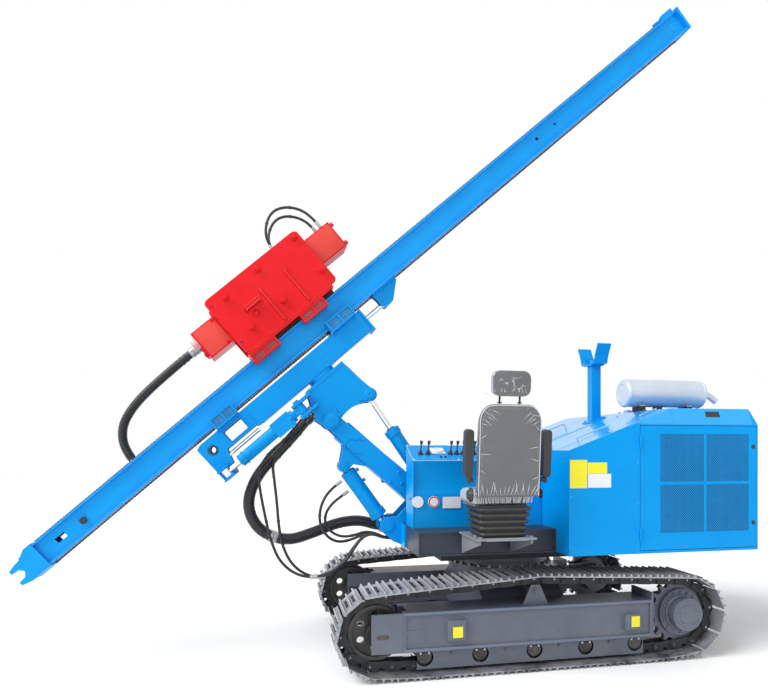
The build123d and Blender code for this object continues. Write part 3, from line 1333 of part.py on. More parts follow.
for name, (diameter, points, cut) in hoses.items():
    points = [Vector(*point) for point in points]
    runs = [b - a for a, b in zip(points, points[1:])]
    radii = [
        bend_share * min(before.length, after.length) / tan(radians(before.get_angle(after)) / 2)
        for before, after in zip(runs, runs[1:])
    ]
    if cut is None:
        hose(name, diameter, points, radii)
    else:
        middle = (points[cut] + points[cut + 1]) / 2
        hose(f"{name}_upper", diameter, points[:cut + 1] + [middle], radii[:cut])
        hose(f"{name}_lower", diameter, [middle] + points[cut + 1:], radii[cut:])

# ---------------------------------------------------------------- write the pieces
boxes = [piece.bounding_box() for piece in pieces.values()]
shift_x = -(min(box.min.X for box in boxes) + max(box.max.X for box in boxes)) / 2
shift_y = -(min(box.min.Y for box in boxes) + max(box.max.Y for box in boxes)) / 2
print("origin shift", round(shift_x, 3), round(shift_y, 3))
for name, piece in pieces.items():
    placed = piece.moved(Location((shift_x, shift_y, 0)))
    placed.label = name
    export_step(placed, f"parts/{name}.step")
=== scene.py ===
# Looks of the pile driver rig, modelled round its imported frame.
# Places are in metres from the slew axis and the ground: X to the rear, Y to the machine's right, Z up.
import json
from math import acos, atan2, cos, hypot, pi, radians, sin

import bmesh
import bpy
from mathutils import Matrix, Vector, noise


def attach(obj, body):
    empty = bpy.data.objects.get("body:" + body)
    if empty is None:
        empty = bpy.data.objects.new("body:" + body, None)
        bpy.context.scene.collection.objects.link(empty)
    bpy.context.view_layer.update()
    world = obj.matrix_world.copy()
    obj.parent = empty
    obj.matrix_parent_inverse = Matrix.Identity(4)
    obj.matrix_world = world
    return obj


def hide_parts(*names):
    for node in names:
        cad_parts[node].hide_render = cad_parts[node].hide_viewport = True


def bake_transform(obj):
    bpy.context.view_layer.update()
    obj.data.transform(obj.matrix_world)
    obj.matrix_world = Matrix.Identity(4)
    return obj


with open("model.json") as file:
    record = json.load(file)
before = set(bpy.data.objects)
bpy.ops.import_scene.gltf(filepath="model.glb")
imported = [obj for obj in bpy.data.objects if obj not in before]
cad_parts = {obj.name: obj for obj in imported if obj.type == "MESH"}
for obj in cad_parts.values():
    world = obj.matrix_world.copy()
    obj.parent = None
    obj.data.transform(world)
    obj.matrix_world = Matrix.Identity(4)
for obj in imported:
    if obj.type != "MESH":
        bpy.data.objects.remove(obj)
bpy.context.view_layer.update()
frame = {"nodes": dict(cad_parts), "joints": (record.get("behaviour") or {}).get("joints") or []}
nodes = frame["nodes"]
print("frame loaded:", len(nodes), "nodes")

# directions and places
joints = {joint["name"]: joint for joint in frame["joints"]}
slewAxis = Vector(joints["slew"]["pos_m"])
mastUp = Vector(joints["mast_slide"]["axis"]).normalized()      # along the mast, towards its head
mastOut = Vector((-mastUp.z, 0, mastUp.x))                      # away from the cradle
across = Vector((0, 1, 0))
upright = Vector((0, 0, 1))
level = Matrix.Identity(4)
edgeOn = Matrix(((1, 0, 0, 0), (0, 0, -1, 0), (0, 1, 0, 0), (0, 0, 0, 1)))      # x stays, y turns up to z


def at(x, y, z):
    return Vector((slewAxis.x + x, slewAxis.y + y, z))


mastTurn = Matrix((mastUp, across, mastOut)).transposed().to_4x4()
mastFrame = Matrix.Translation(at(-1.460, 0, 2.633)) @ mastTurn


def onMast(u, y, v):
    return mastFrame @ Vector((u, y, v))        # u up the mast, y across it, v away from the cradle


# hexagon bolts as shares of their size, and the spacing of a weld's drops in radii
bolt = {"washer": 0.22, "washerWide": 0.86, "washerTop": 0.82, "corner": 0.577, "soft": 0.06}
dropPitch = 1.6


def meshOf(bm, name):
    # empties a bmesh into a new mesh
    mesh = bpy.data.meshes.new(name)
    bm.to_mesh(mesh)
    bm.free()
    return mesh


def placed(name, data):
    # puts a mesh, curve, lamp or camera into the scene
    thing = bpy.data.objects.new(name, data)
    bpy.context.scene.collection.objects.link(thing)
    return thing


def pointing(place, way):
    # a place whose z looks along way
    return Matrix.Translation(place) @ way.to_track_quat("Z", "Y").to_matrix().to_4x4()


def facing(place, normal, hint=upright):
    # a place whose z looks along normal and whose y is as near to hint as it can be
    normal = Vector(normal).normalized()
    side = Vector(hint).cross(normal).normalized()
    return Matrix.Translation(Vector(place)) @ Matrix((side, normal.cross(side), normal)).transposed().to_4x4()


def facesOf(verts):
    return {face for vert in verts for face in vert.link_faces}


def painted(verts, paint):
    # gives the faces round some corners their paint, and hands the faces back
    faces = facesOf(verts)
    for face in faces:
        face.material_index = paint
    return faces


def softened(bm, edges, width, steps):
    bmesh.ops.bevel(bm, geom=edges, offset=width, offset_type="OFFSET", segments=steps, profile=0.5,
                    affect="EDGES", clamp_overlap=True, material=-1)


def rimsOf(faces):
    # the edges of end faces that have more than four corners
    return [edge for face in faces if len(face.verts) > 4 for edge in face.edges]


def block(bm, place, size, turn=level, soft=0.0, paint=0, steps=2):
    # a box with its edges rounded off by soft
    spot = Matrix.Translation(Vector(place)) @ turn @ Matrix.Diagonal((*size, 1))
    verts = bmesh.ops.create_cube(bm, size=1, matrix=spot)["verts"]
    painted(verts, paint)
    if soft:
        softened(bm, list({edge for vert in verts for edge in vert.link_edges}), soft, steps)


def cone(bm, spot, radius, far, high, sides):
    return bmesh.ops.create_cone(bm, cap_ends=True, cap_tris=False, segments=sides, radius1=radius, radius2=far,
                                 depth=high, matrix=spot)["verts"]


def rod(bm, start, end, radius, far=None, sides=20, soft=0.0, paint=0):
    # a round bar or cone between two points
    start, end = Vector(start), Vector(end)
    way = end - start
    faces = painted(cone(bm, pointing((start + end) / 2, way), radius, radius if far is None else far,
                         way.length, sides), paint)
    if soft:
        softened(bm, rimsOf(faces), soft, 2)


def turned(bm, start, way, profile, sides=32, paint=0):
    # a turned shape: profile rows are (distance along, radius) from start in the direction way
    start, way = Vector(start), Vector(way).normalized()
    spot = pointing(start, way)
    verts = [bm.verts.new(spot @ Vector((radius, 0, along))) for along, radius in profile]
    edges = [bm.edges.new(pair) for pair in zip(verts, verts[1:])]
    bmesh.ops.spin(bm, geom=verts + edges, cent=start, axis=way, dvec=(0, 0, 0), angle=2 * pi, steps=sides,
                   use_merge=True, use_duplicate=False)
    whole, fresh = set(verts), list(verts)
    while fresh:
        vert = fresh.pop()
        for other in (link.other_vert(vert) for link in vert.link_edges):
            if other not in whole:
                whole.add(other)
                fresh.append(other)
    painted(whole, paint)
    bmesh.ops.remove_doubles(bm, verts=list(whole), dist=1e-6)


def plate(bm, spot, outline, thick, soft=0.0, paint=0, steps=1):
    # a flat plate: its outline lies in spot's own x and y, its thickness along spot's z
    verts = [bm.verts.new(spot @ Vector((x, y, 0))) for x, y in outline]
    face = bm.faces.new(verts)
    face.material_index = paint
    grown = bmesh.ops.extrude_face_region(bm, geom=[face])["geom"]
    top = [item for item in grown if isinstance(item, bmesh.types.BMVert)]
    bmesh.ops.translate(bm, verts=top, vec=spot.to_3x3() @ Vector((0, 0, thick)))
    if soft:
        faces = facesOf(verts + top)
        bmesh.ops.recalc_face_normals(bm, faces=list(faces))
        edges = {edge for face in faces if len(face.verts) == len(outline) for edge in face.edges}
        softened(bm, list(edges), soft, steps)


def hexBolt(bm, place, normal, across=0.024, high=0.014, washer=True, paint=0, turn=0.3):
    # a hexagon head on a round washer
    flat = abs(Vector(normal).normalized().z) < 0.9
    spot = facing(place, normal, upright if flat else Vector((1, 0, 0)))
    lift = high * bolt["washer"] if washer else 0.0
    if washer:
        cone(bm, spot @ Matrix.Translation((0, 0, lift / 2)), across * bolt["washerWide"],
             across * bolt["washerTop"], lift, 16)
    spot = spot @ Matrix.Rotation(turn, 4, "Z") @ Matrix.Translation((0, 0, lift + high / 2))
    faces = painted(cone(bm, spot, across * bolt["corner"], across * bolt["corner"], high, 6), paint)
    softened(bm, rimsOf(faces), across * bolt["soft"], 1)


def stamp(bm, mesh, spot):
    # adds a copy of a mesh at a place
    mesh.transform(spot)
    bm.from_mesh(mesh)
    mesh.transform(spot.inverted())


def bead(bm, points, radius, sides=8):
    # a weld bead: a chain of short overlapping drops along straight runs
    single = bmesh.new()
    rod(single, (0, 0, -0.95), (0, 0, 0.95), 0.96, 0.70, sides=sides)
    drop = meshOf(single, "drop")
    for start, end in zip(points, points[1:]):
        start, end = Vector(start), Vector(end)
        count = max(2, int((end - start).length / (radius * dropPitch)))
        turn = pointing((0, 0, 0), end - start) @ Matrix.Scale(radius, 4)
        for i in range(count):
            stamp(bm, drop, Matrix.Translation(start.lerp(end, (i + 0.5) / count)) @ turn)
    bpy.data.meshes.remove(drop)


def ring(bm, place, way, inner, outer, high, sides=24, paint=0):
    # a raised round lip with a sloping outside, as a fillet weld or a bush stands
    turned(bm, place, way, [(-0.001, outer), (high * 0.35, outer - (outer - inner) * 0.25),
                            (high, inner + 0.0015), (high, inner), (-0.001, inner)], sides=sides, paint=paint)


def piece(name, bm, looksUsed, body, sharp=32, outward=True):
    # turns a bmesh into a finished piece that rides on a body; looksUsed is a finish or a few of them
    if outward:
        bmesh.ops.recalc_face_normals(bm, faces=bm.faces)
    mesh = meshOf(bm, name)
    mesh.shade_smooth()
    mesh.set_sharp_from_angle(angle=radians(sharp))
    for look in [looksUsed] if isinstance(looksUsed, str) else looksUsed:
        mesh.materials.append(paints[look])
    thing = placed(name, mesh)
    if body:
        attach(thing, body)
    return thing


def put(tree, kind, settings=None, sockets=None):
    # adds a shader node, sets it up, and fills or links its sockets
    node = tree.nodes.new("ShaderNode" + kind)
    for key, value in (settings or {}).items():
        setattr(node, key, value)
    for key, value in (sockets or {}).items():
        if isinstance(value, bpy.types.NodeSocket):
            tree.links.new(value, node.inputs[key])
        else:
            node.inputs[key].default_value = value
    return node


def effect(name, inputs, outputs):
    # an empty shader group with its sockets; inputs are (name, default), outputs (name, type)
    tree = bpy.data.node_groups.new(name, "ShaderNodeTree")
    for label, value in inputs:
        kind = "NodeSocketColor" if isinstance(value, tuple) else "NodeSocketFloat"
        tree.interface.new_socket(label, in_out="INPUT", socket_type=kind).default_value = value
    for label, kind in outputs:
        tree.interface.new_socket(label, in_out="OUTPUT", socket_type="NodeSocket" + kind)
    return tree, tree.nodes.new("NodeGroupInput").outputs, tree.nodes.new("NodeGroupOutput").inputs


def ramp(tree, value, low, high, start=0.0, end=1.0):
    return put(tree, "MapRange", {"interpolation_type": "SMOOTHSTEP"},
               {"Value": value, "From Min": low, "From Max": high, "To Min": start, "To Max": end}).outputs[0]


def times(tree, a, b, kind="MULTIPLY"):
    return put(tree, "Math", {"operation": kind}, {0: a, 1: b}).outputs[0]


def grain(tree, scale, detail=3.0, rough=0.55, stretch=None):
    place = put(tree, "TexCoord").outputs["Object"]
    if stretch:
        place = put(tree, "Mapping", None, {"Vector": place, "Scale": stretch}).outputs[0]
    return put(tree, "TexNoise", None,
               {"Vector": place, "Scale": scale, "Detail": detail, "Roughness": rough}).outputs[0]


def flatNormal(tree):
    return put(tree, "NewGeometry").outputs["Normal"]


def grainLinked(tree, scale):
    place = put(tree, "TexCoord").outputs["Object"]
    return put(tree, "TexNoise", None, {"Vector": place, "Scale": scale, "Detail": 3.0}).outputs[0]


def makeEffects():
    # rubbed edges, and on the film cover a painted highlight along its folds: where a rounded normal leaves the
    # flat one, broken up by grain
    tree, into, out = effect("edgeWearAndHighlight", [("Radius", 0.004), ("Amount", 0.5)], [("Mask", "Float")])
    rounded = put(tree, "Bevel", {"samples": 4}, {"Radius": into["Radius"]}).outputs[0]
    match = put(tree, "VectorMath", {"operation": "DOT_PRODUCT"},
                {0: rounded, 1: flatNormal(tree)}).outputs["Value"]
    corner = ramp(tree, match, 0.985, 0.80)
    patchy = ramp(tree, grain(tree, 34.0, 5.0, 0.7), 0.40, 0.62)
    tree.links.new(times(tree, times(tree, corner, patchy), into["Amount"]), out["Mask"])

    # dust: thicker low down and on faces that look up, in soft clouds
    tree, into, out = effect("settledDust", [("Low", 0.9), ("Amount", 0.5), ("Top", 0.3)], [("Mask", "Float")])
    place = put(tree, "SeparateXYZ", None, {0: put(tree, "TexCoord").outputs["Object"]}).outputs["Z"]
    low = ramp(tree, place, 0.0, into["Low"], 1.0, 0.0)
    upward = ramp(tree, put(tree, "SeparateXYZ", None, {0: flatNormal(tree)}).outputs["Z"], 0.3, 1.0)
    both = times(tree, low, times(tree, upward, into["Top"]), "ADD")
    clouds = ramp(tree, grain(tree, 6.0, 8.0, 0.65), 0.34, 0.70)
    tree.links.new(times(tree, times(tree, both, clouds), into["Amount"]), out["Mask"])

    # paint film: slow change of tone, and the fine skin of sprayed paint
    tree, into, out = effect("sprayedFilm", [("Skin", 140.0), ("Depth", 0.1)],
                             [("Tone", "Float"), ("Normal", "Vector")])
    tone = times(tree, grain(tree, 1.6, 3.0), times(tree, grain(tree, 9.0, 4.0), 0.35), "ADD")
    tree.links.new(ramp(tree, tone, 0.42, 0.95), out["Tone"])
    skin = put(tree, "Bump", None, {"Strength": into["Depth"], "Distance": 0.001,
                                    "Height": grainLinked(tree, into["Skin"])}).outputs[0]
    tree.links.new(skin, out["Normal"])

    # fine scratches, long in one direction and short in the other
    tree, into, out = effect("scratches", [("Amount", 0.3)], [("Mask", "Float")])
    lines = ramp(tree, grain(tree, 18.0, 6.0, 0.7, (1.0, 6.0, 22.0)), 0.66, 0.74)
    places = ramp(tree, grain(tree, 2.3, 2.0), 0.50, 0.66)
    tree.links.new(times(tree, times(tree, lines, places), into["Amount"]), out["Mask"])


def shared(tree, name, **sockets):
    node = tree.nodes.new("ShaderNodeGroup")
    node.node_tree = bpy.data.node_groups[name]
    for key, value in sockets.items():
        node.inputs[key].default_value = value
    return node.outputs


def blendColour(tree, amount, base, over):
    node = put(tree, "Mix", {"data_type": "RGBA", "blend_type": "MIX"})
    for socket, value in ((node.inputs[0], amount), (node.inputs[6], base), (node.inputs[7], over)):
        if isinstance(value, bpy.types.NodeSocket):
            tree.links.new(value, socket)
        else:
            socket.default_value = value
    return node.outputs[2]


def finish(name, look):
    # a finish with tone, rubbed edges (a painted highlight on the film cover), scratches, dust and surface
    # grain, from one dictionary
    paint = bpy.data.materials.new(name)
    paint.use_nodes = True
    tree = paint.node_tree
    shader = tree.nodes["Principled BSDF"]
    film = shared(tree, "sprayedFilm", Skin=look.get("skin", 140.0), Depth=look.get("depth", 0.12))
    colour = blendColour(tree, film["Tone"], (*look["colour"], 1), (*look["shade"], 1))
    rough = ramp(tree, film["Tone"], 0.0, 1.0, look["rough"] - 0.04, look["rough"] + 0.06)
    if look.get("edges"):
        wearAndHighlightMask = shared(tree, "edgeWearAndHighlight", Radius=look.get("edgeRadius", 0.004), Amount=look["edges"])["Mask"]
        colour = blendColour(tree, wearAndHighlightMask, colour, (*look.get("wearAndHighlightColour", (0.42, 0.42, 0.43)), 1))
        rough = times(tree, rough, times(tree, wearAndHighlightMask, 0.12), "ADD")
    if look.get("scratches"):
        lines = shared(tree, "scratches", Amount=look["scratches"])["Mask"]
        colour = blendColour(tree, lines, colour, (*look.get("scratch", (0.5, 0.5, 0.5)), 1))
    if look.get("dust"):
        cover = shared(tree, "settledDust", Low=look.get("low", 0.9), Amount=look["dust"],
                       Top=look.get("top", 0.25))["Mask"]
        colour = blendColour(tree, cover, colour, (*look.get("dustColour", (0.30, 0.27, 0.23)), 1))
        rough = times(tree, rough, times(tree, cover, 0.35), "ADD")
    tree.links.new(colour, shader.inputs["Base Color"])
    tree.links.new(rough, shader.inputs["Roughness"])
    tree.links.new(film["Normal"], shader.inputs["Normal"])
    shader.inputs["Metallic"].default_value = look.get("metal", 0.0)
    if look.get("coat"):
        shader.inputs["Coat Weight"].default_value = look["coat"]
        shader.inputs["Coat Roughness"].default_value = 0.08
    if look.get("specular"):
        shader.inputs["Specular IOR Level"].default_value = look["specular"]
    return paint


# floor, lamps, backdrop and camera
studio = {
    "floorSize": 60.0,
    "floorColour": (1.0, 1.0, 1.0, 1),
    "skyStrength": 0.56,
    "keyStrength": 2.85,
    "keyAngle": 40.0,
    "keyTurn": (50.0, 0.0, -72.0),
    "fillStrength": 0.5,
    "fillTurn": (66.0, 0.0, 0.0),
}

view = {
    "place": (-1.857, -5.330, 1.590),
    "heading": 12.47,           # degrees off the machine's cross axis
    "lens": 30.94,
    "sensor": 36.0,
    "shift": (-0.0482, 0.1309),
}


def makeStudio():
    scene = bpy.context.scene
    scene.view_settings.view_transform = "Standard"
    world = bpy.data.worlds.new("studio")
    scene.world = world
    world.use_nodes = True
    tree = world.node_tree
    tree.nodes.clear()
    # what the lens, glass and gloss see is plain white; the rest is lit by a softer sky
    rays = put(tree, "LightPath").outputs
    seen = times(tree, rays["Is Camera Ray"], rays["Is Transmission Ray"], "MAXIMUM")
    mirrored = times(tree, seen, rays["Is Glossy Ray"], "MAXIMUM")
    soft, white = (put(tree, "Background", None, {"Color": (1, 1, 1, 1), "Strength": strength}).outputs[0]
                   for strength in (studio["skyStrength"], 1.0))
    mix = put(tree, "MixShader", None, {0: mirrored, 1: soft, 2: white}).outputs[0]
    put(tree, "OutputWorld", None, {"Surface": mix})

    bm = bmesh.new()
    bmesh.ops.create_grid(bm, x_segments=1, y_segments=1, size=studio["floorSize"] / 2)
    floor = placed("floor", meshOf(bm, "floor"))
    paint = bpy.data.materials.new("floorPaint")
    paint.use_nodes = True
    shader = paint.node_tree.nodes["Principled BSDF"]
    shader.inputs["Base Color"].default_value = studio["floorColour"]
    shader.inputs["Roughness"].default_value = 0.9
    shader.inputs["Specular IOR Level"].default_value = 0.1
    floor.data.materials.append(paint)

    for name, strength, turn in (("key", studio["keyStrength"], studio["keyTurn"]),
                                 ("fill", studio["fillStrength"], studio["fillTurn"])):
        light = bpy.data.lights.new(name, "SUN")
        light.energy = strength
        light.angle = radians(studio["keyAngle"])
        placed(name, light).rotation_euler = [radians(a) for a in turn]

    lens = bpy.data.cameras.new("camera")
    lens.lens = view["lens"]
    lens.sensor_width = view["sensor"]
    lens.shift_x, lens.shift_y = view["shift"]
    lens.clip_end = 200
    scene.camera = placed("camera", lens)
    scene.camera.location = at(*view["place"])
    scene.camera.rotation_euler = (radians(90), 0, -radians(view["heading"]))


makeStudio()
print("studio ready")

looks = {
    "bluePaint": dict(colour=(0.000, 0.310, 0.770), shade=(0.000, 0.280, 0.715), rough=0.34, specular=0.12,
                      edges=0.25, wearAndHighlightColour=(0.20, 0.55, 0.82), scratches=0.08, scratch=(0.25, 0.55, 0.82),
                      dust=0.14, low=1.0, depth=0.08),
    # painted light: the hood top's blue, a lighter copy of the body blue as lit from above
    "hoodPaint": dict(colour=(0.000, 0.345, 0.870), shade=(0.000, 0.325, 0.830), rough=0.30, coat=0.6,
                      specular=0.4, dust=0.06, low=1.0, depth=0.05, scratches=0.05,
                      scratch=(0.25, 0.55, 0.82)),
    "mastPaint": dict(colour=(0.004, 0.350, 0.840), shade=(0.004, 0.300, 0.770), rough=0.36, specular=0.15,
                      edges=0.50, wearAndHighlightColour=(0.45, 0.55, 0.62), scratches=0.30, scratch=(0.40, 0.52, 0.62),
                      dust=0.08, low=1.0, depth=0.12),
    "redPaint": dict(colour=(0.800, 0.008, 0.014), shade=(0.700, 0.005, 0.010), rough=0.30, specular=0.16,
                     edges=0.30, wearAndHighlightColour=(0.62, 0.16, 0.14), scratches=0.12, scratch=(0.75, 0.20, 0.18),
                     depth=0.20, skin=90.0),
    "darkRed": dict(colour=(0.420, 0.004, 0.020), shade=(0.330, 0.003, 0.016), rough=0.36, edges=0.4,
                    wearAndHighlightColour=(0.75, 0.25, 0.28), depth=0.2),
    "palePink": dict(colour=(0.720, 0.420, 0.440), shade=(0.640, 0.340, 0.360), rough=0.38, edges=0.4,
                     wearAndHighlightColour=(0.85, 0.80, 0.80), scratches=0.3, scratch=(0.8, 0.7, 0.7), depth=0.2),
    # painted shade behind the door holes; its dust term makes it lighter and bluer below 1.2 m
    "screenDark": dict(colour=(0.000, 0.060, 0.140), shade=(0.000, 0.030, 0.080), rough=0.55, depth=0.1,
                       dust=0.2, low=1.2, dustColour=(0.05, 0.20, 0.32)),
    # film cover: the pale colour on its rounded edges and crumples is a painted highlight along the film's
    # folds
    "filmCover": dict(colour=(0.300, 0.320, 0.340), shade=(0.500, 0.530, 0.555), rough=0.24, coat=0.5,
                      depth=0.9, skin=34.0, edges=0.8, edgeRadius=0.006, wearAndHighlightColour=(0.84, 0.87, 0.89)),
    # painted highlight: a paler grey for the film's creases, hem and pleats
    "filmEdge": dict(colour=(0.560, 0.580, 0.600), shade=(0.700, 0.720, 0.740), rough=0.22, coat=0.5,
                     depth=0.5, skin=60.0),
    "seatPanel": dict(colour=(0.112, 0.116, 0.122), shade=(0.140, 0.144, 0.150), rough=0.34, coat=0.15,
                      depth=0.5, skin=24.0, edges=0.6, edgeRadius=0.012, wearAndHighlightColour=(0.46, 0.48, 0.50)),
    # painted shade: a darker copy of the red for the floors inside the hammer's pockets
    "dullRed": dict(colour=(0.420, 0.065, 0.070), shade=(0.330, 0.050, 0.055), rough=0.6, depth=0.3),
    "orangeRed": dict(colour=(0.780, 0.080, 0.060), shade=(0.700, 0.055, 0.045), rough=0.42, specular=0.2,
                      edges=0.4, wearAndHighlightColour=(0.85, 0.35, 0.30), depth=0.2, scratches=0.2,
                      scratch=(0.85, 0.40, 0.35)),
    # painted shade: a darker copy of the blue for the floors inside the cradle's pockets
    "dullBlue": dict(colour=(0.020, 0.230, 0.520), shade=(0.014, 0.180, 0.420), rough=0.6, depth=0.3),
    "framePaint": dict(colour=(0.108, 0.128, 0.168), shade=(0.086, 0.104, 0.138), rough=0.38, coat=0.1,
                       edges=0.60, wearAndHighlightColour=(0.32, 0.36, 0.43), scratches=0.22, scratch=(0.25, 0.27, 0.31),
                       dust=0.22, low=0.60, dustColour=(0.25, 0.25, 0.25), depth=0.12),
    # painted light: the web's bars in a lighter copy of the frame paint, as lit
    "lipPaint": dict(colour=(0.135, 0.165, 0.235), shade=(0.115, 0.142, 0.205), rough=0.34, edges=0.7,
                     wearAndHighlightColour=(0.32, 0.37, 0.46), scratches=0.2, scratch=(0.28, 0.32, 0.38), depth=0.12),
    "deckPaint": dict(colour=(0.034, 0.043, 0.063), shade=(0.026, 0.034, 0.050), rough=0.40, edges=0.5,
                      specular=0.3, wearAndHighlightColour=(0.16, 0.19, 0.23), scratches=0.2, scratch=(0.12, 0.14, 0.16),
                      dust=0.08, low=0.9, depth=0.12),
    "blackPaint": dict(colour=(0.022, 0.023, 0.026), shade=(0.014, 0.015, 0.017), rough=0.42, edges=0.4,
                       wearAndHighlightColour=(0.16, 0.16, 0.17), dust=0.30, low=0.9, depth=0.2),
    # its near-black, blue-tinted dust term darkens the shoes below half a metre
    "shoeSteel": dict(colour=(0.400, 0.410, 0.440), shade=(0.230, 0.245, 0.275), rough=0.40, metal=0.35,
                      edges=1.0, edgeRadius=0.004, wearAndHighlightColour=(0.80, 0.81, 0.83), scratches=0.9,
                      scratch=(0.66, 0.67, 0.70), dust=1.0, low=0.50, top=0.0,
                      dustColour=(0.020, 0.030, 0.038), depth=0.4, skin=60.0),
    # its dark dust term darkens the tips below 0.36 m
    "barTip": dict(colour=(0.780, 0.790, 0.800), shade=(0.560, 0.570, 0.585), rough=0.30, metal=0.7,
                   scratches=0.6, scratch=(0.35, 0.36, 0.37), dust=0.9, low=0.36,
                   dustColour=(0.10, 0.11, 0.12), depth=0.4, skin=70.0),
    "linkSteel": dict(colour=(0.030, 0.032, 0.036), shade=(0.018, 0.020, 0.023), rough=0.48, metal=0.3,
                      edges=0.7, wearAndHighlightColour=(0.30, 0.32, 0.34), dust=0.35, low=0.7,
                      dustColour=(0.07, 0.075, 0.08), depth=0.4, skin=80.0),
    "boltSteel": dict(colour=(0.50, 0.50, 0.50), shade=(0.36, 0.36, 0.37), rough=0.34, metal=0.85,
                      dust=0.25, depth=0.2),
    "chrome": dict(colour=(0.80, 0.81, 0.83), shade=(0.72, 0.73, 0.75), rough=0.14, metal=1.0, depth=0.02,
                   dust=0.06),
    "silverPaint": dict(colour=(0.62, 0.68, 0.74), shade=(0.52, 0.58, 0.65), rough=0.33, metal=0.35,
                        edges=0.3, wearAndHighlightColour=(0.30, 0.27, 0.24), scratches=0.2, scratch=(0.7, 0.7, 0.7),
                        depth=0.25, skin=220.0, dust=0.12, top=0.8, dustColour=(0.40, 0.37, 0.33)),
    "greyPaint": dict(colour=(0.235, 0.255, 0.280), shade=(0.190, 0.205, 0.225), rough=0.40, edges=0.6,
                      wearAndHighlightColour=(0.42, 0.44, 0.46), scratches=0.3, scratch=(0.4, 0.42, 0.44), dust=0.3,
                      depth=0.15),
    "seatVinyl": dict(colour=(0.150, 0.152, 0.158), shade=(0.120, 0.122, 0.128), rough=0.50, skin=420.0,
                      depth=0.45, dust=0.1),
    "hardPlastic": dict(colour=(0.030, 0.031, 0.034), shade=(0.022, 0.023, 0.025), rough=0.46, skin=500.0,
                        depth=0.35, edges=0.25, wearAndHighlightColour=(0.12, 0.12, 0.13), dust=0.12),
    "bellowsRubber": dict(colour=(0.030, 0.031, 0.033), shade=(0.020, 0.021, 0.022), rough=0.50, skin=260.0,
                          depth=0.3, edges=0.5, wearAndHighlightColour=(0.11, 0.11, 0.115), dust=0.2, low=1.3),
    "hoseRubber": dict(colour=(0.016, 0.0165, 0.018), shade=(0.010, 0.0105, 0.012), rough=0.34, skin=300.0,
                       depth=0.25, dust=0.12, low=0.9),
    "chainSteel": dict(colour=(0.150, 0.075, 0.085), shade=(0.080, 0.050, 0.058), rough=0.5, metal=0.5,
                       edges=0.6, wearAndHighlightColour=(0.45, 0.36, 0.34), depth=0.5, skin=120.0),
    "yellowLabel": dict(colour=(0.870, 0.800, 0.020), shade=(0.800, 0.720, 0.015), rough=0.35, depth=0.05,
                        scratches=0.3, scratch=(0.6, 0.55, 0.2), dust=0.1),
    "whiteLabel": dict(colour=(0.780, 0.800, 0.820), shade=(0.700, 0.720, 0.750), rough=0.35, depth=0.05,
                       scratches=0.3, scratch=(0.5, 0.5, 0.5), dust=0.1),
    "redLabel": dict(colour=(0.640, 0.060, 0.060), shade=(0.560, 0.050, 0.050), rough=0.35, depth=0.05,
                     dust=0.1),
    # painted light: a paler copy of the blue for handles, filler cap and console rims, as lit
    "lightPaint": dict(colour=(0.300, 0.520, 0.700), shade=(0.220, 0.440, 0.640), rough=0.30, coat=0.3,
                       edges=0.3, wearAndHighlightColour=(0.45, 0.6, 0.75), scratches=0.2, scratch=(0.5, 0.65, 0.8), dust=0.1,
                       depth=0.1),
}
makeEffects()
paints = {name: finish(name, look) for name, look in looks.items()}
print("finishes made:", len(paints))

# the finish of each carried-over node
nodeFinish = {
    "bluePaint": ["hood_ends", "hood_sides", "console", "boom_post", "boom", "knuckle", "cradle",
                  "cradle_shoes", "slide_bracket", "mast_rest", "boom_cylinder", "tilt_cylinder",
                  "swing_cylinder", "door_left", "door_right"],
    "mastPaint": ["mast_beam", "mast_foot", "mast_head"],
    "redPaint": ["hammer_body", "hammer_carriage"],
    "framePaint": ["track_frame_left", "track_frame_right", "sprockets", "cross_frame",
                   "frame_legs", "fixed_ring", "slew_ring"],
    "deckPaint": ["deck"],
    # the hood top in the lighter blue that paints it as lit
    "hoodPaint": ["hood_top"],
    "shoeSteel": ["track_left", "track_right"],
    "blackPaint": ["idlers", "rollers", "engine_block", "feed_motor", "slide_cylinder"],
    "chainSteel": ["feed_chain"],
    "silverPaint": ["muffler"],
    "greyPaint": ["seat_bracket"],
    "seatVinyl": ["seat_cushion", "seat_back"],
    "hardPlastic": ["armrests", "control_levers"],
    "bellowsRubber": ["seat_bellows"],
    "chrome": ["boom_rod", "tilt_rod", "swing_rod", "slide_rod", "guide_rod"],
    "hoseRubber": [name for name in nodes if name.startswith("hose_")],
}
for name, members in nodeFinish.items():
    for member in members:
        nodes[member].data.materials.clear()
        nodes[member].data.materials.append(paints[name])


def mastRoute(*rows):
    return [tuple(onMast(u, y, v)) for u, v, y in rows]


def machineRoute(*rows):
    return [tuple(at(*row)) for row in rows]


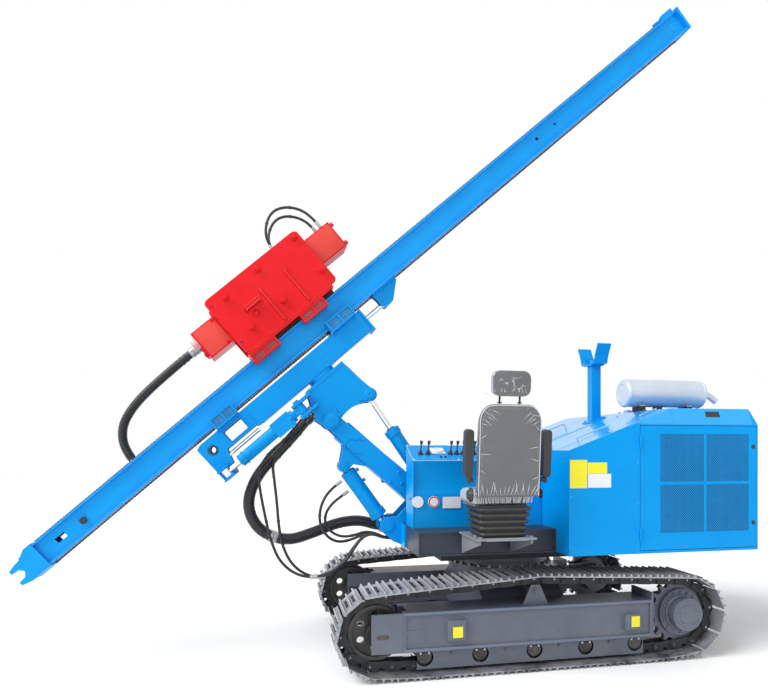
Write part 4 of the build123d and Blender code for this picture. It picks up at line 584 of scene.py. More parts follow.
# each route is the line of one hose, as its real length falls; one that crosses two joints is two pieces that
# meet in a coupling
hoseRoutes = {
    "main_upper": {"diameter": 0.086, "between": ("knuckle", "boom"), "reach": (0, 2), "to": "object",
                   "points": machineRoute(
                       (-1.5525, 0.008, 1.8938), (-1.6799, 0.008, 1.7257), (-1.845, 0.014, 1.545),
                       (-2.005, 0.016, 1.365), (-2.080, 0.024, 1.140), (-1.984, 0.050, 0.930),
                       (-1.8745, 0.0725, 0.884))},
    "main_lower": {"diameter": 0.086, "between": ("boom", "upper"), "reach": (0, 5), "to": "object",
                   "points": machineRoute(
                       (-1.8745, 0.0725, 0.884), (-1.765, 0.095, 0.838), (-1.545, 0.138, 0.900),
                       (-1.345, 0.168, 0.975), (-1.150, 0.186, 0.988), (-1.010, 0.190, 0.935),
                       (-0.885, 0.190, 0.935))},
    "thin_a_upper": {"diameter": 0.022, "between": ("knuckle", "boom"), "reach": (0, 3), "to": "object",
                     "points": machineRoute(
                         (-1.5540, -0.066, 1.8950), (-1.6483, -0.066, 1.7707), (-1.782, -0.072, 1.655),
                         (-1.905, -0.076, 1.552), (-1.988, -0.078, 1.415), (-1.968, -0.080, 1.245),
                         (-1.932, -0.076, 1.060), (-1.890, -0.070, 0.865), (-1.812, -0.058, 0.683),
                         (-1.652, -0.046, 0.568), (-1.557, -0.047, 0.572))},
    "thin_a_lower": {"diameter": 0.022, "between": ("boom", "upper"), "reach": (0, 6), "to": "object",
                     "points": machineRoute(
                         (-1.557, -0.047, 0.572), (-1.462, -0.048, 0.576), (-1.300, -0.058, 0.690),
                         (-1.240, -0.066, 0.790), (-1.175, -0.074, 0.880), (-1.090, -0.078, 0.905),
                         (-0.985, -0.078, 0.862), (-0.885, -0.078, 0.862))},
    "thin_b_upper": {"diameter": 0.022, "between": ("knuckle", "boom"), "reach": (0, 3), "to": "object",
                     "points": machineRoute(
                         (-1.5285, -0.066, 1.8757), (-1.6228, -0.066, 1.7514), (-1.765, -0.066, 1.612),
                         (-1.880, -0.062, 1.488), (-1.862, -0.060, 1.330), (-1.842, -0.056, 1.160),
                         (-1.830, -0.052, 0.985), (-1.800, -0.040, 0.815), (-1.723, -0.022, 0.661),
                         (-1.594, -0.012, 0.567), (-1.523, -0.010, 0.564))},
    "thin_b_lower": {"diameter": 0.022, "between": ("boom", "upper"), "reach": (0, 6), "to": "object",
                     "points": machineRoute(
                         (-1.523, -0.010, 0.564), (-1.452, -0.008, 0.561), (-1.325, -0.016, 0.669),
                         (-1.240, -0.030, 0.795), (-1.165, -0.042, 0.885), (-1.078, -0.046, 0.900),
                         (-0.985, -0.046, 0.858), (-0.885, -0.046, 0.858))},
    "loop_a": {"diameter": 0.022, "between": ("boom", "upper"), "reach": (3, 10), "to": "object",
               "points": machineRoute(
                   (-1.337, -0.030, 1.326), (-1.400, -0.033, 1.280), (-1.470, -0.050, 1.205),
                   (-1.512, -0.066, 1.105), (-1.514, -0.076, 0.990), (-1.462, -0.074, 0.892),
                   (-1.370, -0.050, 0.838), (-1.262, -0.020, 0.850), (-1.160, -0.010, 0.892),
                   (-1.072, -0.012, 0.890), (-0.980, -0.014, 0.854), (-0.885, -0.014, 0.854))},
    "loop_b": {"diameter": 0.022, "between": ("boom", "upper"), "reach": (3, 10), "to": "object",
               "points": machineRoute(
                   (-1.276, 0.030, 1.241), (-1.338, 0.033, 1.196), (-1.412, 0.050, 1.135),
                   (-1.462, 0.068, 1.050), (-1.458, 0.076, 0.965), (-1.400, 0.072, 0.895),
                   (-1.315, 0.058, 0.865), (-1.222, 0.040, 0.880), (-1.140, 0.028, 0.910),
                   (-1.062, 0.020, 0.897), (-0.975, 0.018, 0.854), (-0.885, 0.018, 0.854))},
    "hammer": {"diameter": 0.064, "between": ("hammer", "mast"), "reach": (1, 6), "to": "object",
               "points": mastRoute(
                   (-0.900, 0.455, 0.076), (-1.060, 0.455, 0.076), (-1.240, 0.452, 0.084),
                   (-1.420, 0.446, 0.096), (-1.590, 0.425, 0.112), (-1.752, 0.365, 0.134),
                   (-1.860, 0.212, 0.160), (-1.860, 0.042, 0.160))},
    "head_a": {"diameter": 0.021, "rides": "hammer", "to": "object",
               "points": mastRoute(
                   (0.028, 0.642, -0.040), (0.028, 0.724, -0.040), (0.096, 0.822, -0.050),
                   (0.204, 0.880, -0.050), (0.312, 0.858, -0.044), (0.400, 0.772, -0.042),
                   (0.436, 0.664, -0.040), (0.436, 0.561, -0.040))},
    "head_b": {"diameter": 0.021, "rides": "hammer", "to": "object",
               "points": mastRoute(
                   (0.040, 0.642, 0.036), (0.040, 0.716, 0.036), (0.104, 0.796, 0.048),
                   (0.205, 0.842, 0.054), (0.296, 0.820, 0.048), (0.368, 0.744, 0.040),
                   (0.404, 0.652, 0.036), (0.404, 0.561, 0.036))},
}


def settled(thing):
    # the mesh of an object with its modifiers applied
    view = bpy.context.evaluated_depsgraph_get()
    return bpy.data.meshes.new_from_object(thing.evaluated_get(view))


def hoseMesh(name, points, radius):
    # a smooth line through a route, as wide as radius, as a mesh
    line = bpy.data.curves.new(name, "CURVE")
    line.dimensions = "3D"
    line.resolution_u = 10
    spline = line.splines.new("NURBS")
    spline.points.add(len(points) - 1)
    for spot, point in zip(spline.points, points):
        spot.co = (*point, 1)
    spline.order_u = 3
    spline.use_endpoint_u = True
    line.bevel_depth = radius
    line.bevel_resolution = 5
    line.use_fill_caps = radius > 0
    thing = placed(name, line)
    bpy.context.view_layer.update()
    mesh = settled(thing)
    bpy.data.objects.remove(thing)
    return mesh


def centreLine(points):
    # close points along a route's smooth line, read back from the curve
    mesh = hoseMesh("line", points, 0.0)
    found = [vert.co.copy() for vert in mesh.vertices]
    bpy.data.meshes.remove(mesh)
    return found


def lineLength(line):
    return sum((b - a).length for a, b in zip(line, line[1:]))


def alongLine(line, distance):
    # the point and direction at a distance along a line of points
    for a, b in zip(line, line[1:]):
        step = (b - a).length
        if distance <= step and step > 0:
            return a.lerp(b, distance / step), (b - a).normalized()
        distance -= step
    return line[-1], (line[-1] - line[-2]).normalized()


def hoseTube(name, points, radius):
    mesh = hoseMesh(name, points, radius)
    mesh.name = name
    mesh.materials.clear()
    mesh.materials.append(paints["hoseRubber"])
    return placed(name, mesh)


sleeve = {"pitch": 0.0125, "bulge": 0.0035, "half": 0.0032}       # moulded rings of the thick hoses
band = {"bulge": 0.0028, "half": 0.009, "soft": 0.0012}           # clamped strips round any hose
ferrule = {"long": 0.055, "thicker": 1.28, "groove": 0.93}        # crimped end
coupling = {"half": 0.030, "thicker": 0.006, "soft": 0.002}
# where each hose has its bands, and where its moulded rings start and how far from its end they stop
dressing = {"main_upper": ((0.10, 0.22, 0.34, 0.46), (0.50, 0.05)), "main_lower": ((), (0.05, 0.12)),
            "hammer": ((0.13, 0.17), (0.20, 0.11))}


def hoseRings(bm, line, radius, first, last):
    # moulded rings along a stretch of a hose
    distance = first
    while distance < last:
        place, way = alongLine(line, distance)
        half = way * sleeve["half"]
        rod(bm, place - half, place + half, radius + sleeve["bulge"], soft=sleeve["bulge"] * 0.8)
        distance += sleeve["pitch"]


def hoseBands(bm, line, radius, places):
    for distance in places:
        place, way = alongLine(line, distance)
        half = way * band["half"]
        rod(bm, place - half, place + half, radius + band["bulge"], sides=24, soft=band["soft"])


def crimpedEnd(bm, place, way, radius):
    # ferrule with two crimp grooves, reaching from place along way
    long, fat = ferrule["long"] * max(1.0, radius / 0.02), radius * ferrule["thicker"]
    thin = fat * ferrule["groove"]
    turned(bm, place, way, [(0, radius * 0.9), (0, fat), (long * 0.2, fat), (long * 0.24, thin),
                            (long * 0.3, thin), (long * 0.34, fat), (long * 0.52, fat), (long * 0.56, thin),
                            (long * 0.62, thin), (long * 0.66, fat), (long * 0.86, fat), (long, radius * 1.04),
                            (long, radius * 0.9)], sides=20)


def makeHose(name, route):
    points = [Vector(point) for point in route["points"]]
    radius = route["diameter"] / 2
    line = centreLine(points)
    length = lineLength(line)
    tube = hoseTube("hose_" + name + "_tube", points, radius)
    bm = bmesh.new()
    if name in dressing:
        bands, (first, short) = dressing[name]
        hoseBands(bm, line, radius, bands)
        hoseRings(bm, line, radius, first, length - short)
    else:
        hoseBands(bm, line, radius * 0.92, (length * 0.3, length * 0.62))
    rings = piece("hose_" + name + "_rings", bm, "hoseRubber", None, sharp=50)

    bm = bmesh.new()
    # each end has a ferrule, or half a coupling where it meets the other hose
    for place, after, joined in ((line[0], line[1], "_lower"), (line[-1], line[-2], "_upper")):
        if not name.endswith(joined):
            crimpedEnd(bm, place, after - place, radius)
    for place, after, joined in ((line[-1], line[-2], "_upper"), (line[0], line[1], "_lower")):
        if name.endswith(joined):
            way = (after - place).normalized()
            rod(bm, place, place + way * coupling["half"], radius + coupling["thicker"], sides=24,
                soft=coupling["soft"])
    companions = [rings, piece("hose_" + name + "_ends", bm, "boltSteel", None)]
    for thing in [tube] + companions:
        if "rides" in route:
            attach(thing, route["rides"])
        else:
            first, last = route["reach"]
            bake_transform(thing)
    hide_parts("hose_" + name)
    print("hose", name, round(length, 3))


for name, route in hoseRoutes.items():
    makeHose(name, route)

# crawler tracks: one link, stamped round the belt
track = {
    "links": 40,
    "gauge": 1.5,
    # carrier, idler, first and last roller, sprocket: (x, z, radius of the chain pins)
    "circles": [(-0.012, 0.555, 0.081), (-1.180, 0.314, hypot(0.226, 0.077)), (-0.940, 0.155, 0.091),
                (0.873, 0.155, 0.091), (1.190, 0.330, hypot(0.234, 0.077))],
    "shoeHalf": 0.190,
    "base": 0.036,              # underside of a shoe over the chain pins
    "plate": 0.008,
    "bar": 0.020,
    "bars": (0.13, 0.5, 0.87),  # places of the bars, in pitches
    "bolts": (0.315, 0.685),
    "boltYs": (-0.066, -0.030, 0.030, 0.066),
    "split": 0.011,             # thickness of a link plate
    "railOut": 0.060,
    "railIn": 0.038,
    "pin": 0.017,
    "bolt": 0.019,
}


def beltPins(circles, count):
    # chain pins laid evenly round a belt over circles of (x, z, radius)
    touch = []
    for (x1, z1, r1), (x2, z2, r2) in zip(circles, circles[1:] + circles[:1]):
        way = atan2(z2 - z1, x2 - x1)
        normal = way - acos((r1 - r2) / hypot(x2 - x1, z2 - z1))
        touch.append((Vector((x1 + r1 * cos(normal), 0, z1 + r1 * sin(normal))),
                      Vector((x2 + r2 * cos(normal), 0, z2 + r2 * sin(normal))), normal))
    runs = []
    for (x, z, radius), before, after in zip(circles, touch[-1:] + touch[:-1], touch):
        turn = (after[2] - before[2]) % (2 * pi)
        runs.append((radius * turn, Vector((x, 0, z)), before[2], radius))
        runs.append(((after[1] - after[0]).length, after[0], after[2] + pi / 2, 0))
    whole = sum(run[0] for run in runs)
    found = []
    for number in range(count):
        left = (runs[0][0] / 2 + number * whole / count) % whole
        for long, start, angle, radius in runs:
            if left <= long:
                break
            left -= long
        angle += left / radius if radius else 0
        reach = radius if radius else left
        found.append(start + Vector((cos(angle), 0, sin(angle))) * reach)
    return found, whole / count


def trackLink(pitch):
    # one shoe with its bars and bolts, its link plates and its pin: x along the chain, z outwards
    bm = bmesh.new()
    face = track["base"] + track["plate"]
    tip = face + track["bar"]
    shoe = [(0.0, track["base"]), (pitch, track["base"]), (pitch, face)]
    for share in reversed(track["bars"]):
        middle = share * pitch
        shoe += [(middle + 0.011, face), (middle + 0.0045, tip - 0.002), (middle + 0.0030, tip),
                 (middle - 0.0030, tip), (middle - 0.0045, tip - 0.002), (middle - 0.011, face)]
    shoe += [(0.004, face), (-0.003, face - 0.006)]
    plate(bm, Matrix.Translation((0, track["shoeHalf"], 0)) @ edgeOn, shoe, 2 * track["shoeHalf"])
    for side in bm.faces:
        if side.calc_center_median().z > tip - 0.0025:
            side.material_index = 1
    for share in track["bolts"]:
        for y in track["boltYs"]:
            hexBolt(bm, (share * pitch, y, face), (0, 0, 1), across=track["bolt"], high=0.010, washer=False,
                    paint=2, turn=share + y * 9)
    outline = [(-0.027, 0.0), (-0.023, -0.017), (-0.011, -0.033), (0.006, -0.036), (0.62 * pitch, -0.036),
               (0.62 * pitch, 0.006), (0.44 * pitch, 0.006), (0.36 * pitch, 0.020), (0.34 * pitch, 0.036),
               (0.13 * pitch, 0.036), (0.08 * pitch, 0.029), (-0.008, 0.029), (-0.022, 0.018)]
    other = [(pitch - x, z) for x, z in reversed(outline)]
    for mirror in (1, -1):
        for shape, edges in ((outline, (track["railOut"] - track["split"], track["railOut"])),
                             (other, (track["railIn"], track["railOut"] - track["split"]))):
            low, high = sorted(mirror * edge for edge in edges)
            plate(bm, Matrix.Translation((0, high, 0)) @ edgeOn, shape, high - low, soft=0.0015, paint=3)
    rod(bm, (0, -0.064, 0), (0, 0.064, 0), track["pin"], sides=14, soft=0.002, paint=3)
    rod(bm, (0, -0.0645, 0), (0, 0.0645, 0), track["pin"] * 0.45, sides=10, paint=0)
    rod(bm, (0, -0.037, 0), (0, 0.037, 0), 0.025, sides=16, paint=3)
    bmesh.ops.recalc_face_normals(bm, faces=bm.faces)
    return meshOf(bm, "trackLink")


def makeTracks():
    pins, pitch = beltPins(track["circles"], track["links"])
    link = trackLink(pitch)
    for hand, sign in (("left", -1), ("right", 1)):
        bm = bmesh.new()
        for here, there in zip(pins, pins[1:] + pins[:1]):
            way = (there - here).normalized()
            out = Vector((way.z, 0, -way.x))
            turn = Matrix((way, out.cross(way), out)).transposed().to_4x4()
            stamp(bm, link, Matrix.Translation(at(here.x, sign * track["gauge"] / 2, here.z)) @ turn)
        chain = piece("trackChain_" + hand, bm, ("shoeSteel", "barTip", "linkSteel", "linkSteel"),
                      "undercarriage", outward=False)
        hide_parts("track_" + hand)
    print("tracks made, pitch", round(pitch, 4))


makeTracks()

# side frames: tensioner boxes, plates, caps and bolts
sideFrame = {
    "webY": 0.886,
    "lipY": 0.900,
    "boxes": ((-0.692, -0.555, 0.250, 0.397), (0.657, 0.787, 0.247, 0.366)),
    "squares": ((-0.655, -0.583, 0.275, 0.350), (0.706, 0.772, 0.272, 0.349)),
    "boxFace": 0.921,
    "rivetPlate": (-0.990, -0.846, 0.243, 0.335),
    "slot": (-1.187, -1.098, 0.287, 0.320),
    "rollers": (-0.840, -0.434, -0.026, 0.375, 0.773),
    "rollerZ": 0.138,
    "lips": ((0.4480, 0.022), (0.1975, 0.023)),     # middle and height of the two bars of the web
    "webEnds": (-0.983, 0.868),
    # the drive's rings of bolts: count, first angle, radius, place off the middle, size, height, washer
    "driveBolts": ((16, 0.0, 0.152, 0.0525, 0.021, 0.010, True), (9, 0.2, 0.101, 0.150, 0.010, 0.005, False)),
    "plugs": ((0.7, 0.022), (pi - 0.5, 0.022), (-pi / 2 + 0.5, 0.018)),
}
carrier, idler, sprocket = (track["circles"][i][:2] for i in (0, 1, 4))


def sideLabel(bm, xs, y, zs, sign, paint=0, thick=0.0012, soft=0.0):
    # a thin sheet on a side face, between two places along X and two heights
    centre = at((xs[0] + xs[1]) / 2, sign * (y + thick / 2), (zs[0] + zs[1]) / 2)
    block(bm, centre, (abs(xs[1] - xs[0]), thick, abs(zs[1] - zs[0])), soft=soft, paint=paint, steps=1)


def around(middle, radius, angle, y):
    # a place on a circle round a wheel's middle, in the machine's side view
    return at(middle[0] + radius * cos(angle), y, middle[1] + radius * sin(angle))


def makeSideFrames():
    for hand, sign in (("left", -1), ("right", 1)):
        out = Vector((0, sign, 0))
        middle = track["gauge"] / 2
        web, lip = sideFrame["webY"], sideFrame["lipY"]
        bm = bmesh.new()
        # tensioner covers: folded boxes with a lighter lid line, standing out from the sunk web
        for x1, x2, z1, z2 in sideFrame["boxes"]:
            depth = sideFrame["boxFace"] - web + 0.002
            block(bm, at((x1 + x2) / 2, sign * (web - 0.002 + depth / 2), (z1 + z2) / 2),
                  (x2 - x1, depth, z2 - z1), soft=0.007, steps=3)
            block(bm, at((x1 + x2) / 2, sign * (web + 0.002), (z1 + z2) / 2),
                  (x2 - x1 + 0.014, 0.004, z2 - z1 + 0.014), soft=0.0015)
        # rolled lips along the top and bottom of the web, and weld beads beside them
        for z in (0.459 - 0.004, 0.186 + 0.004):
            rod(bm, at(-0.999, sign * (lip - 0.004), z), at(0.885, sign * (lip - 0.004), z), 0.0045, sides=10)
        for z in (0.437, 0.208):
            bead(bm, [at(x, sign * web, z) for x in sideFrame["webEnds"]], 0.0042, sides=6)
        bead(bm, [at(0.888, sign * (lip - 0.008), 0.205), at(0.888, sign * (lip - 0.008), 0.452)], 0.004,
             sides=6)
        # carrier bracket's axle end
        ends = [around(carrier, 0, 0, sign * (middle + y)) for y in (0.086, 0.090, 0.091)]
        hexBolt(bm, ends[1], out, across=0.030, high=0.012)
        rod(bm, ends[0], ends[2], 0.028, soft=0.001)
        # guard bolts between the rollers
        for a, b in zip(sideFrame["rollers"], sideFrame["rollers"][1:]):
            half = (a + b) / 2
            for x, z, size in ((half - 0.010, 0.150, 0.020), (half + 0.042, 0.166, 0.012)):
                hexBolt(bm, at(x, sign * (middle + 0.102), z), out, across=size, high=size * 0.5)
        # cover plate on the idler's fork
        block(bm, at(-1.110, sign * (lip + 0.0015), 0.3225), (0.218, 0.003, 0.266), soft=0.001, steps=1)
        piece("sideFrameTrim_" + hand, bm, "framePaint", "undercarriage")
        bm = bmesh.new()
        # the web's bars, painted lighter than the frame as lit
        for z, high in sideFrame["lips"]:
            block(bm, at(-0.057, sign * (lip - 0.0045), z), (1.880, 0.013, high), soft=0.0045, steps=3)
        piece("frameLips_" + hand, bm, "lipPaint", "undercarriage")

        # rollers: black end caps with two pale bolts under each arch
        bm = bmesh.new()
        for x in sideFrame["rollers"]:
            for face in (1, -1):
                y0 = middle + face * 0.0905
                spot = at(x, sign * y0, sideFrame["rollerZ"])
                turned(bm, spot, (0, sign * face, 0), [(0, 0), (0, 0.052), (0.005, 0.052), (0.007, 0.046),
                                                       (0.007, 0.030), (0.010, 0.026), (0.010, 0)], sides=28)
                if face == 1:
                    for dx in (-0.030, 0.030):
                        hexBolt(bm, at(x + dx, sign * (y0 + 0.007), 0.162), out, across=0.017, high=0.008,
                                washer=False, paint=1)
        # idler: bolts round the hub
        for turn in range(8):
            angle = turn * pi / 4 + 0.2
            hexBolt(bm, around(idler, 0.052, angle, sign * (middle + 0.061)), out, across=0.014, high=0.006,
                    washer=False)
        piece("rollerCaps_" + hand, bm, ("blackPaint", "boltSteel"), "undercarriage")

        # final drive: ring bolts, cover bolts, plugs and the seam of the cover
        bm = bmesh.new()
        for count, first, radius, y, size, high, washer in sideFrame["driveBolts"]:
            for turn in range(count):
                hexBolt(bm, around(sprocket, radius, first + turn * 2 * pi / count, sign * (middle + y)), out,
                        across=size, high=high, washer=washer)
        for angle, size in sideFrame["plugs"]:
            hexBolt(bm, around(sprocket, 0.052, angle, sign * (middle + 0.158)), out, across=size, high=0.006)
        for y, profile in ((0.128, [(0, 0.1215), (0, 0.1245), (0.012, 0.1245), (0.012, 0.1215)]),
                           (0.052, [(-0.001, 0.120), (-0.001, 0.132), (0.008, 0.132), (0.014, 0.122),
                                    (0.014, 0.120)])):
            turned(bm, around(sprocket, 0, 0, sign * (middle + y)), out, profile, sides=64)
        piece("driveTrim_" + hand, bm, "framePaint", "undercarriage")

        bm = bmesh.new()
        x1, x2, z1, z2 = sideFrame["slot"]
        bend = (z2 - z1) / 2
        spot = facing(at((x1 + x2) / 2, sign * (lip + 0.0031), (z1 + z2) / 2), out)
        half = (x2 - x1) / 2 - bend
        shape = [(way * (half + bend * sin(i * pi / 8)), way * bend * cos(i * pi / 8)) for way in (1, -1)
                 for i in range(9)]
        plate(bm, spot, shape[::-1], 0.0006)
        piece("forkSlot_" + hand, bm, "blackPaint", "undercarriage")
    # what only the near side shows: a blank rivetted plate and two blank yellow squares
    bm = bmesh.new()
    x1, x2, z1, z2 = sideFrame["rivetPlate"]
    sideLabel(bm, (x1, x2), sideFrame["webY"], (z1, z2), -1, thick=0.003, soft=0.001)
    for x in (x1 + 0.020, x2 - 0.020):
        turned(bm, at(x, -sideFrame["webY"] - 0.003, (z1 + z2) / 2 - 0.004), (0, -1, 0),
               [(0, 0.0075), (0.002, 0.0068), (0.004, 0.0040), (0.0046, 0)], sides=14)
    piece("rivetPlate", bm, "framePaint", "undercarriage")
    bm = bmesh.new()
    for x1, x2, z1, z2 in sideFrame["squares"]:
        sideLabel(bm, (x1, x2), sideFrame["boxFace"], (z1, z2), -1)
    piece("frameSquares", bm, "yellowLabel", "undercarriage")
    print("side frames trimmed")


makeSideFrames()

# slew ring: bolts below and above all round the fixed ring, and a seal between the two
slewRing = {"count": 30, "under": 0.388, "over": 0.416, "z": 0.650, "sealZ": 0.686}
bm = bmesh.new()
for turn in range(slewRing["count"]):
    angle = turn * 2 * pi / slewRing["count"]
    for radius, lift, way, size, high in ((slewRing["under"], 0.0005, -1, 0.024, 0.012),
                                          (slewRing["over"], 0.0, 1, 0.022, 0.014)):
        hexBolt(bm, at(radius * cos(angle), radius * sin(angle), slewRing["z"] + lift), (0, 0, way),
                across=size, high=high)
piece("ringBolts", bm, "boltSteel", "undercarriage")
bm = bmesh.new()
turned(bm, at(0, 0, slewRing["sealZ"]), upright, [(0, 0.395), (0, 0.4025), (0.006, 0.4025), (0.006, 0.395)],
       sides=96)
piece("ringSeal", bm, "bellowsRubber", "undercarriage")


# hood: perforated door fields, rolled edges, handles, vent, caps and blank labels
hood = {
    "half": 0.940, "front": 0.201, "nose": 1.572, "slopeEnd": 1.038, "roof": 1.890, "rear": 1.762,
    "shoulder": 0.046, "shoulderZ": 1.768,
    "door": (0.768, 1.752, 0.836, 1.756),
    "fields": (((0.930, 1.296), (1.316, 1.682)), ((0.960, 1.318), (1.338, 1.696))),
    "cell": 0.0134,             # spacing of the round holes, on lines at 45 degrees
    "holeShare": 0.36,
    "hinges": (0.956, 1.636),
    "latches": (1.02, 1.60),
    "handle": 0.0052,           # radius of a handle's bar
    "handleLift": 0.045,
    "handles": ((0.330, 0.580, -0.830), (0.280, 0.640, -0.450), (0.330, 0.710, 0.220)),
    "sideBolts": ((0.216, (0.870, 1.240)), (0.744, (0.870, 1.180, 1.480))),
    "noseScrews": ((-0.90, -0.45, 0.0, 0.45, 0.90), (0.850, 1.530)),
    "rearScrews": ((-0.86, -0.70, 0.70, 0.86), (0.880, 1.310, 1.720)),
    "grille": (1.30, 1.00, 1.62),
    "louvres": (16, 1.035, 0.0355),
    "slopeCaps": ((0.926, -0.317), (0.700, -0.120), (0.980, -0.560)),
    "labels": (("yellowLabel", 0.208, 0.341, 1.301, 1.504), ("yellowLabel", 0.345, 0.498, 1.405, 1.485),
               ("whiteLabel", 0.348, 0.530, 1.303, 1.403)),
}


def slopeAt(x):
    rise = (hood["roof"] - hood["nose"]) / (hood["slopeEnd"] - hood["front"])
    return hood["nose"] + (x - hood["front"]) * rise


slopeUp = Vector((-(hood["roof"] - hood["nose"]), 0, hood["slopeEnd"] - hood["front"])).normalized()
slopeWay = Vector((slopeUp.z, 0, -slopeUp.x))


def onSlope(x, y, lift=0.0):
    return at(x, y, slopeAt(x)) + slopeUp * lift


def perforated(xs, zs, spot):
    # a thin sheet with rows of holes at 45 degrees, cut to a field
    bm = bmesh.new()
    wide, high = xs[1] - xs[0], zs[1] - zs[0]
    reach = (wide + high) / 2
    cells = int(reach * 1.45 / hood["cell"]) + 2
    bmesh.ops.create_grid(bm, x_segments=cells, y_segments=cells, size=cells * hood["cell"] / 2,
                          matrix=Matrix.Rotation(radians(45), 4, "Z"))
    ways = [Vector(way) for way in ((1, 0, 0), (-1, 0, 0), (0, 1, 0), (0, -1, 0))]
    edge = Vector((wide / 2, high / 2, 0))
    for way in ways:
        reach = abs(edge.dot(way)) + 0.004
        outside = [face for face in bm.faces if face.calc_center_median().dot(way) > reach]
        bmesh.ops.delete(bm, geom=outside, context="FACES")
    whole = list(bm.faces)
    hole = hood["cell"] * 2 * hood["holeShare"]
    bmesh.ops.inset_individual(bm, faces=whole, thickness=(hood["cell"] - hole) / 2, use_even_offset=True)
    kept = {face.calc_center_median().to_tuple(5) for face in whole}
    centres = [face for face in bm.faces if face.calc_center_median().to_tuple(5) in kept
               and len(face.verts) == 4 and abs(face.calc_area() - hole ** 2) < 1e-6]
    bmesh.ops.delete(bm, geom=centres, context="FACES")
    for way in ways:
        bmesh.ops.bisect_plane(bm, geom=list(bm.verts) + list(bm.edges) + list(bm.faces), dist=1e-6,
                               plane_co=way * abs(edge.dot(way)), plane_no=way, clear_outer=True)
    bmesh.ops.transform(bm, matrix=spot, verts=bm.verts)
    return bm


def makeDoors():
    for hand, sign in (("left", -1), ("right", 1)):
        out = Vector((0, sign, 0))
        body = "door_" + hand
        columns, rows = hood["fields"]
        skin = hood["half"] - 0.002
        bm = bmesh.new()
        for xs in columns:
            for zs in rows:
                spot = facing(at(sum(xs) / 2, sign * (skin + 0.0005), sum(zs) / 2), out)
                mesh = meshOf(perforated(xs, zs, spot), "field")
                bm.from_mesh(mesh)
                bpy.data.meshes.remove(mesh)
        piece("doorScreen_" + hand, bm, "bluePaint", body, outward=False)
        # painted shade: a dark sheet close behind the holes, standing in for the shaded inside of the hood
        bm = bmesh.new()
        for xs in columns:
            for zs in rows:
                block(bm, at(sum(xs) / 2, sign * (skin - 0.0014), sum(zs) / 2),
                      (xs[1] - xs[0], 0.0008, zs[1] - zs[0]))
        piece("doorShadeSheet_" + hand, bm, "screenDark", body)
        bm = bmesh.new()
        x0, x1, z0, z1 = hood["door"]
        # a rolled edge all round, and rails that divide the four fields
        for x in (x0 + 0.002, x1 - 0.002):
            rod(bm, at(x, sign * skin, z0 + 0.004), at(x, sign * skin, z1 - 0.004), 0.0030, sides=8)
        for z in (z0 + 0.002, z1 - 0.002):
            rod(bm, at(x0 + 0.004, sign * skin, z), at(x1 - 0.004, sign * skin, z), 0.0030, sides=8)
        rail = sign * (skin + 0.0008)
        for x in (columns[0][1] + 0.002, columns[1][0] - 0.002):
            rod(bm, at(x, rail, rows[0][0]), at(x, rail, rows[1][1]), 0.0018, sides=6)
        for z in (rows[0][1] + 0.002, rows[1][0] - 0.002):
            rod(bm, at(columns[0][0], rail, z), at(columns[1][1], rail, z), 0.0018, sides=6)
        # hinge screws
        for z in hood["hinges"]:
            for dx in (0.014, 0.026):
                for dz in (-0.014, 0.014):
                    turned(bm, at(x0 + dx, sign * (skin + 0.005), z + dz), out,
                           [(0, 0.0045), (0.0012, 0.0040), (0.0022, 0.0020), (0.0024, 0)], sides=10)
        piece("doorTrim_" + hand, bm, "bluePaint", body)
        bm = bmesh.new()
        # two quarter-turn latches at the rear edge
        for z in hood["latches"]:
            turned(bm, at(x1 - 0.030, sign * hood["half"], z), out,
                   [(0, 0.017), (0.002, 0.0165), (0.003, 0.014), (0.003, 0.009), (0.002, 0.0085), (0.002, 0)],
                   sides=24)
            block(bm, at(x1 - 0.030, sign * (hood["half"] + 0.0025), z), (0.004, 0.0015, 0.014), soft=0.0006,
                  steps=1)
        piece("doorLatches_" + hand, bm, "blackPaint", body)
    print("doors detailed")


def grab(bm, points, radius):
    # a round-bar handle with mitred corners rounded by balls
    for start, end in zip(points, points[1:]):
        rod(bm, start, end, radius, sides=12)
    for spot in points[1:-1]:
        bmesh.ops.create_icosphere(bm, subdivisions=2, radius=radius, matrix=Matrix.Translation(spot))
    for spot in (points[0], points[-1]):
        turned(bm, spot, slopeUp, [(-0.001, 0.012), (0.003, 0.010), (0.005, radius)], sides=16)


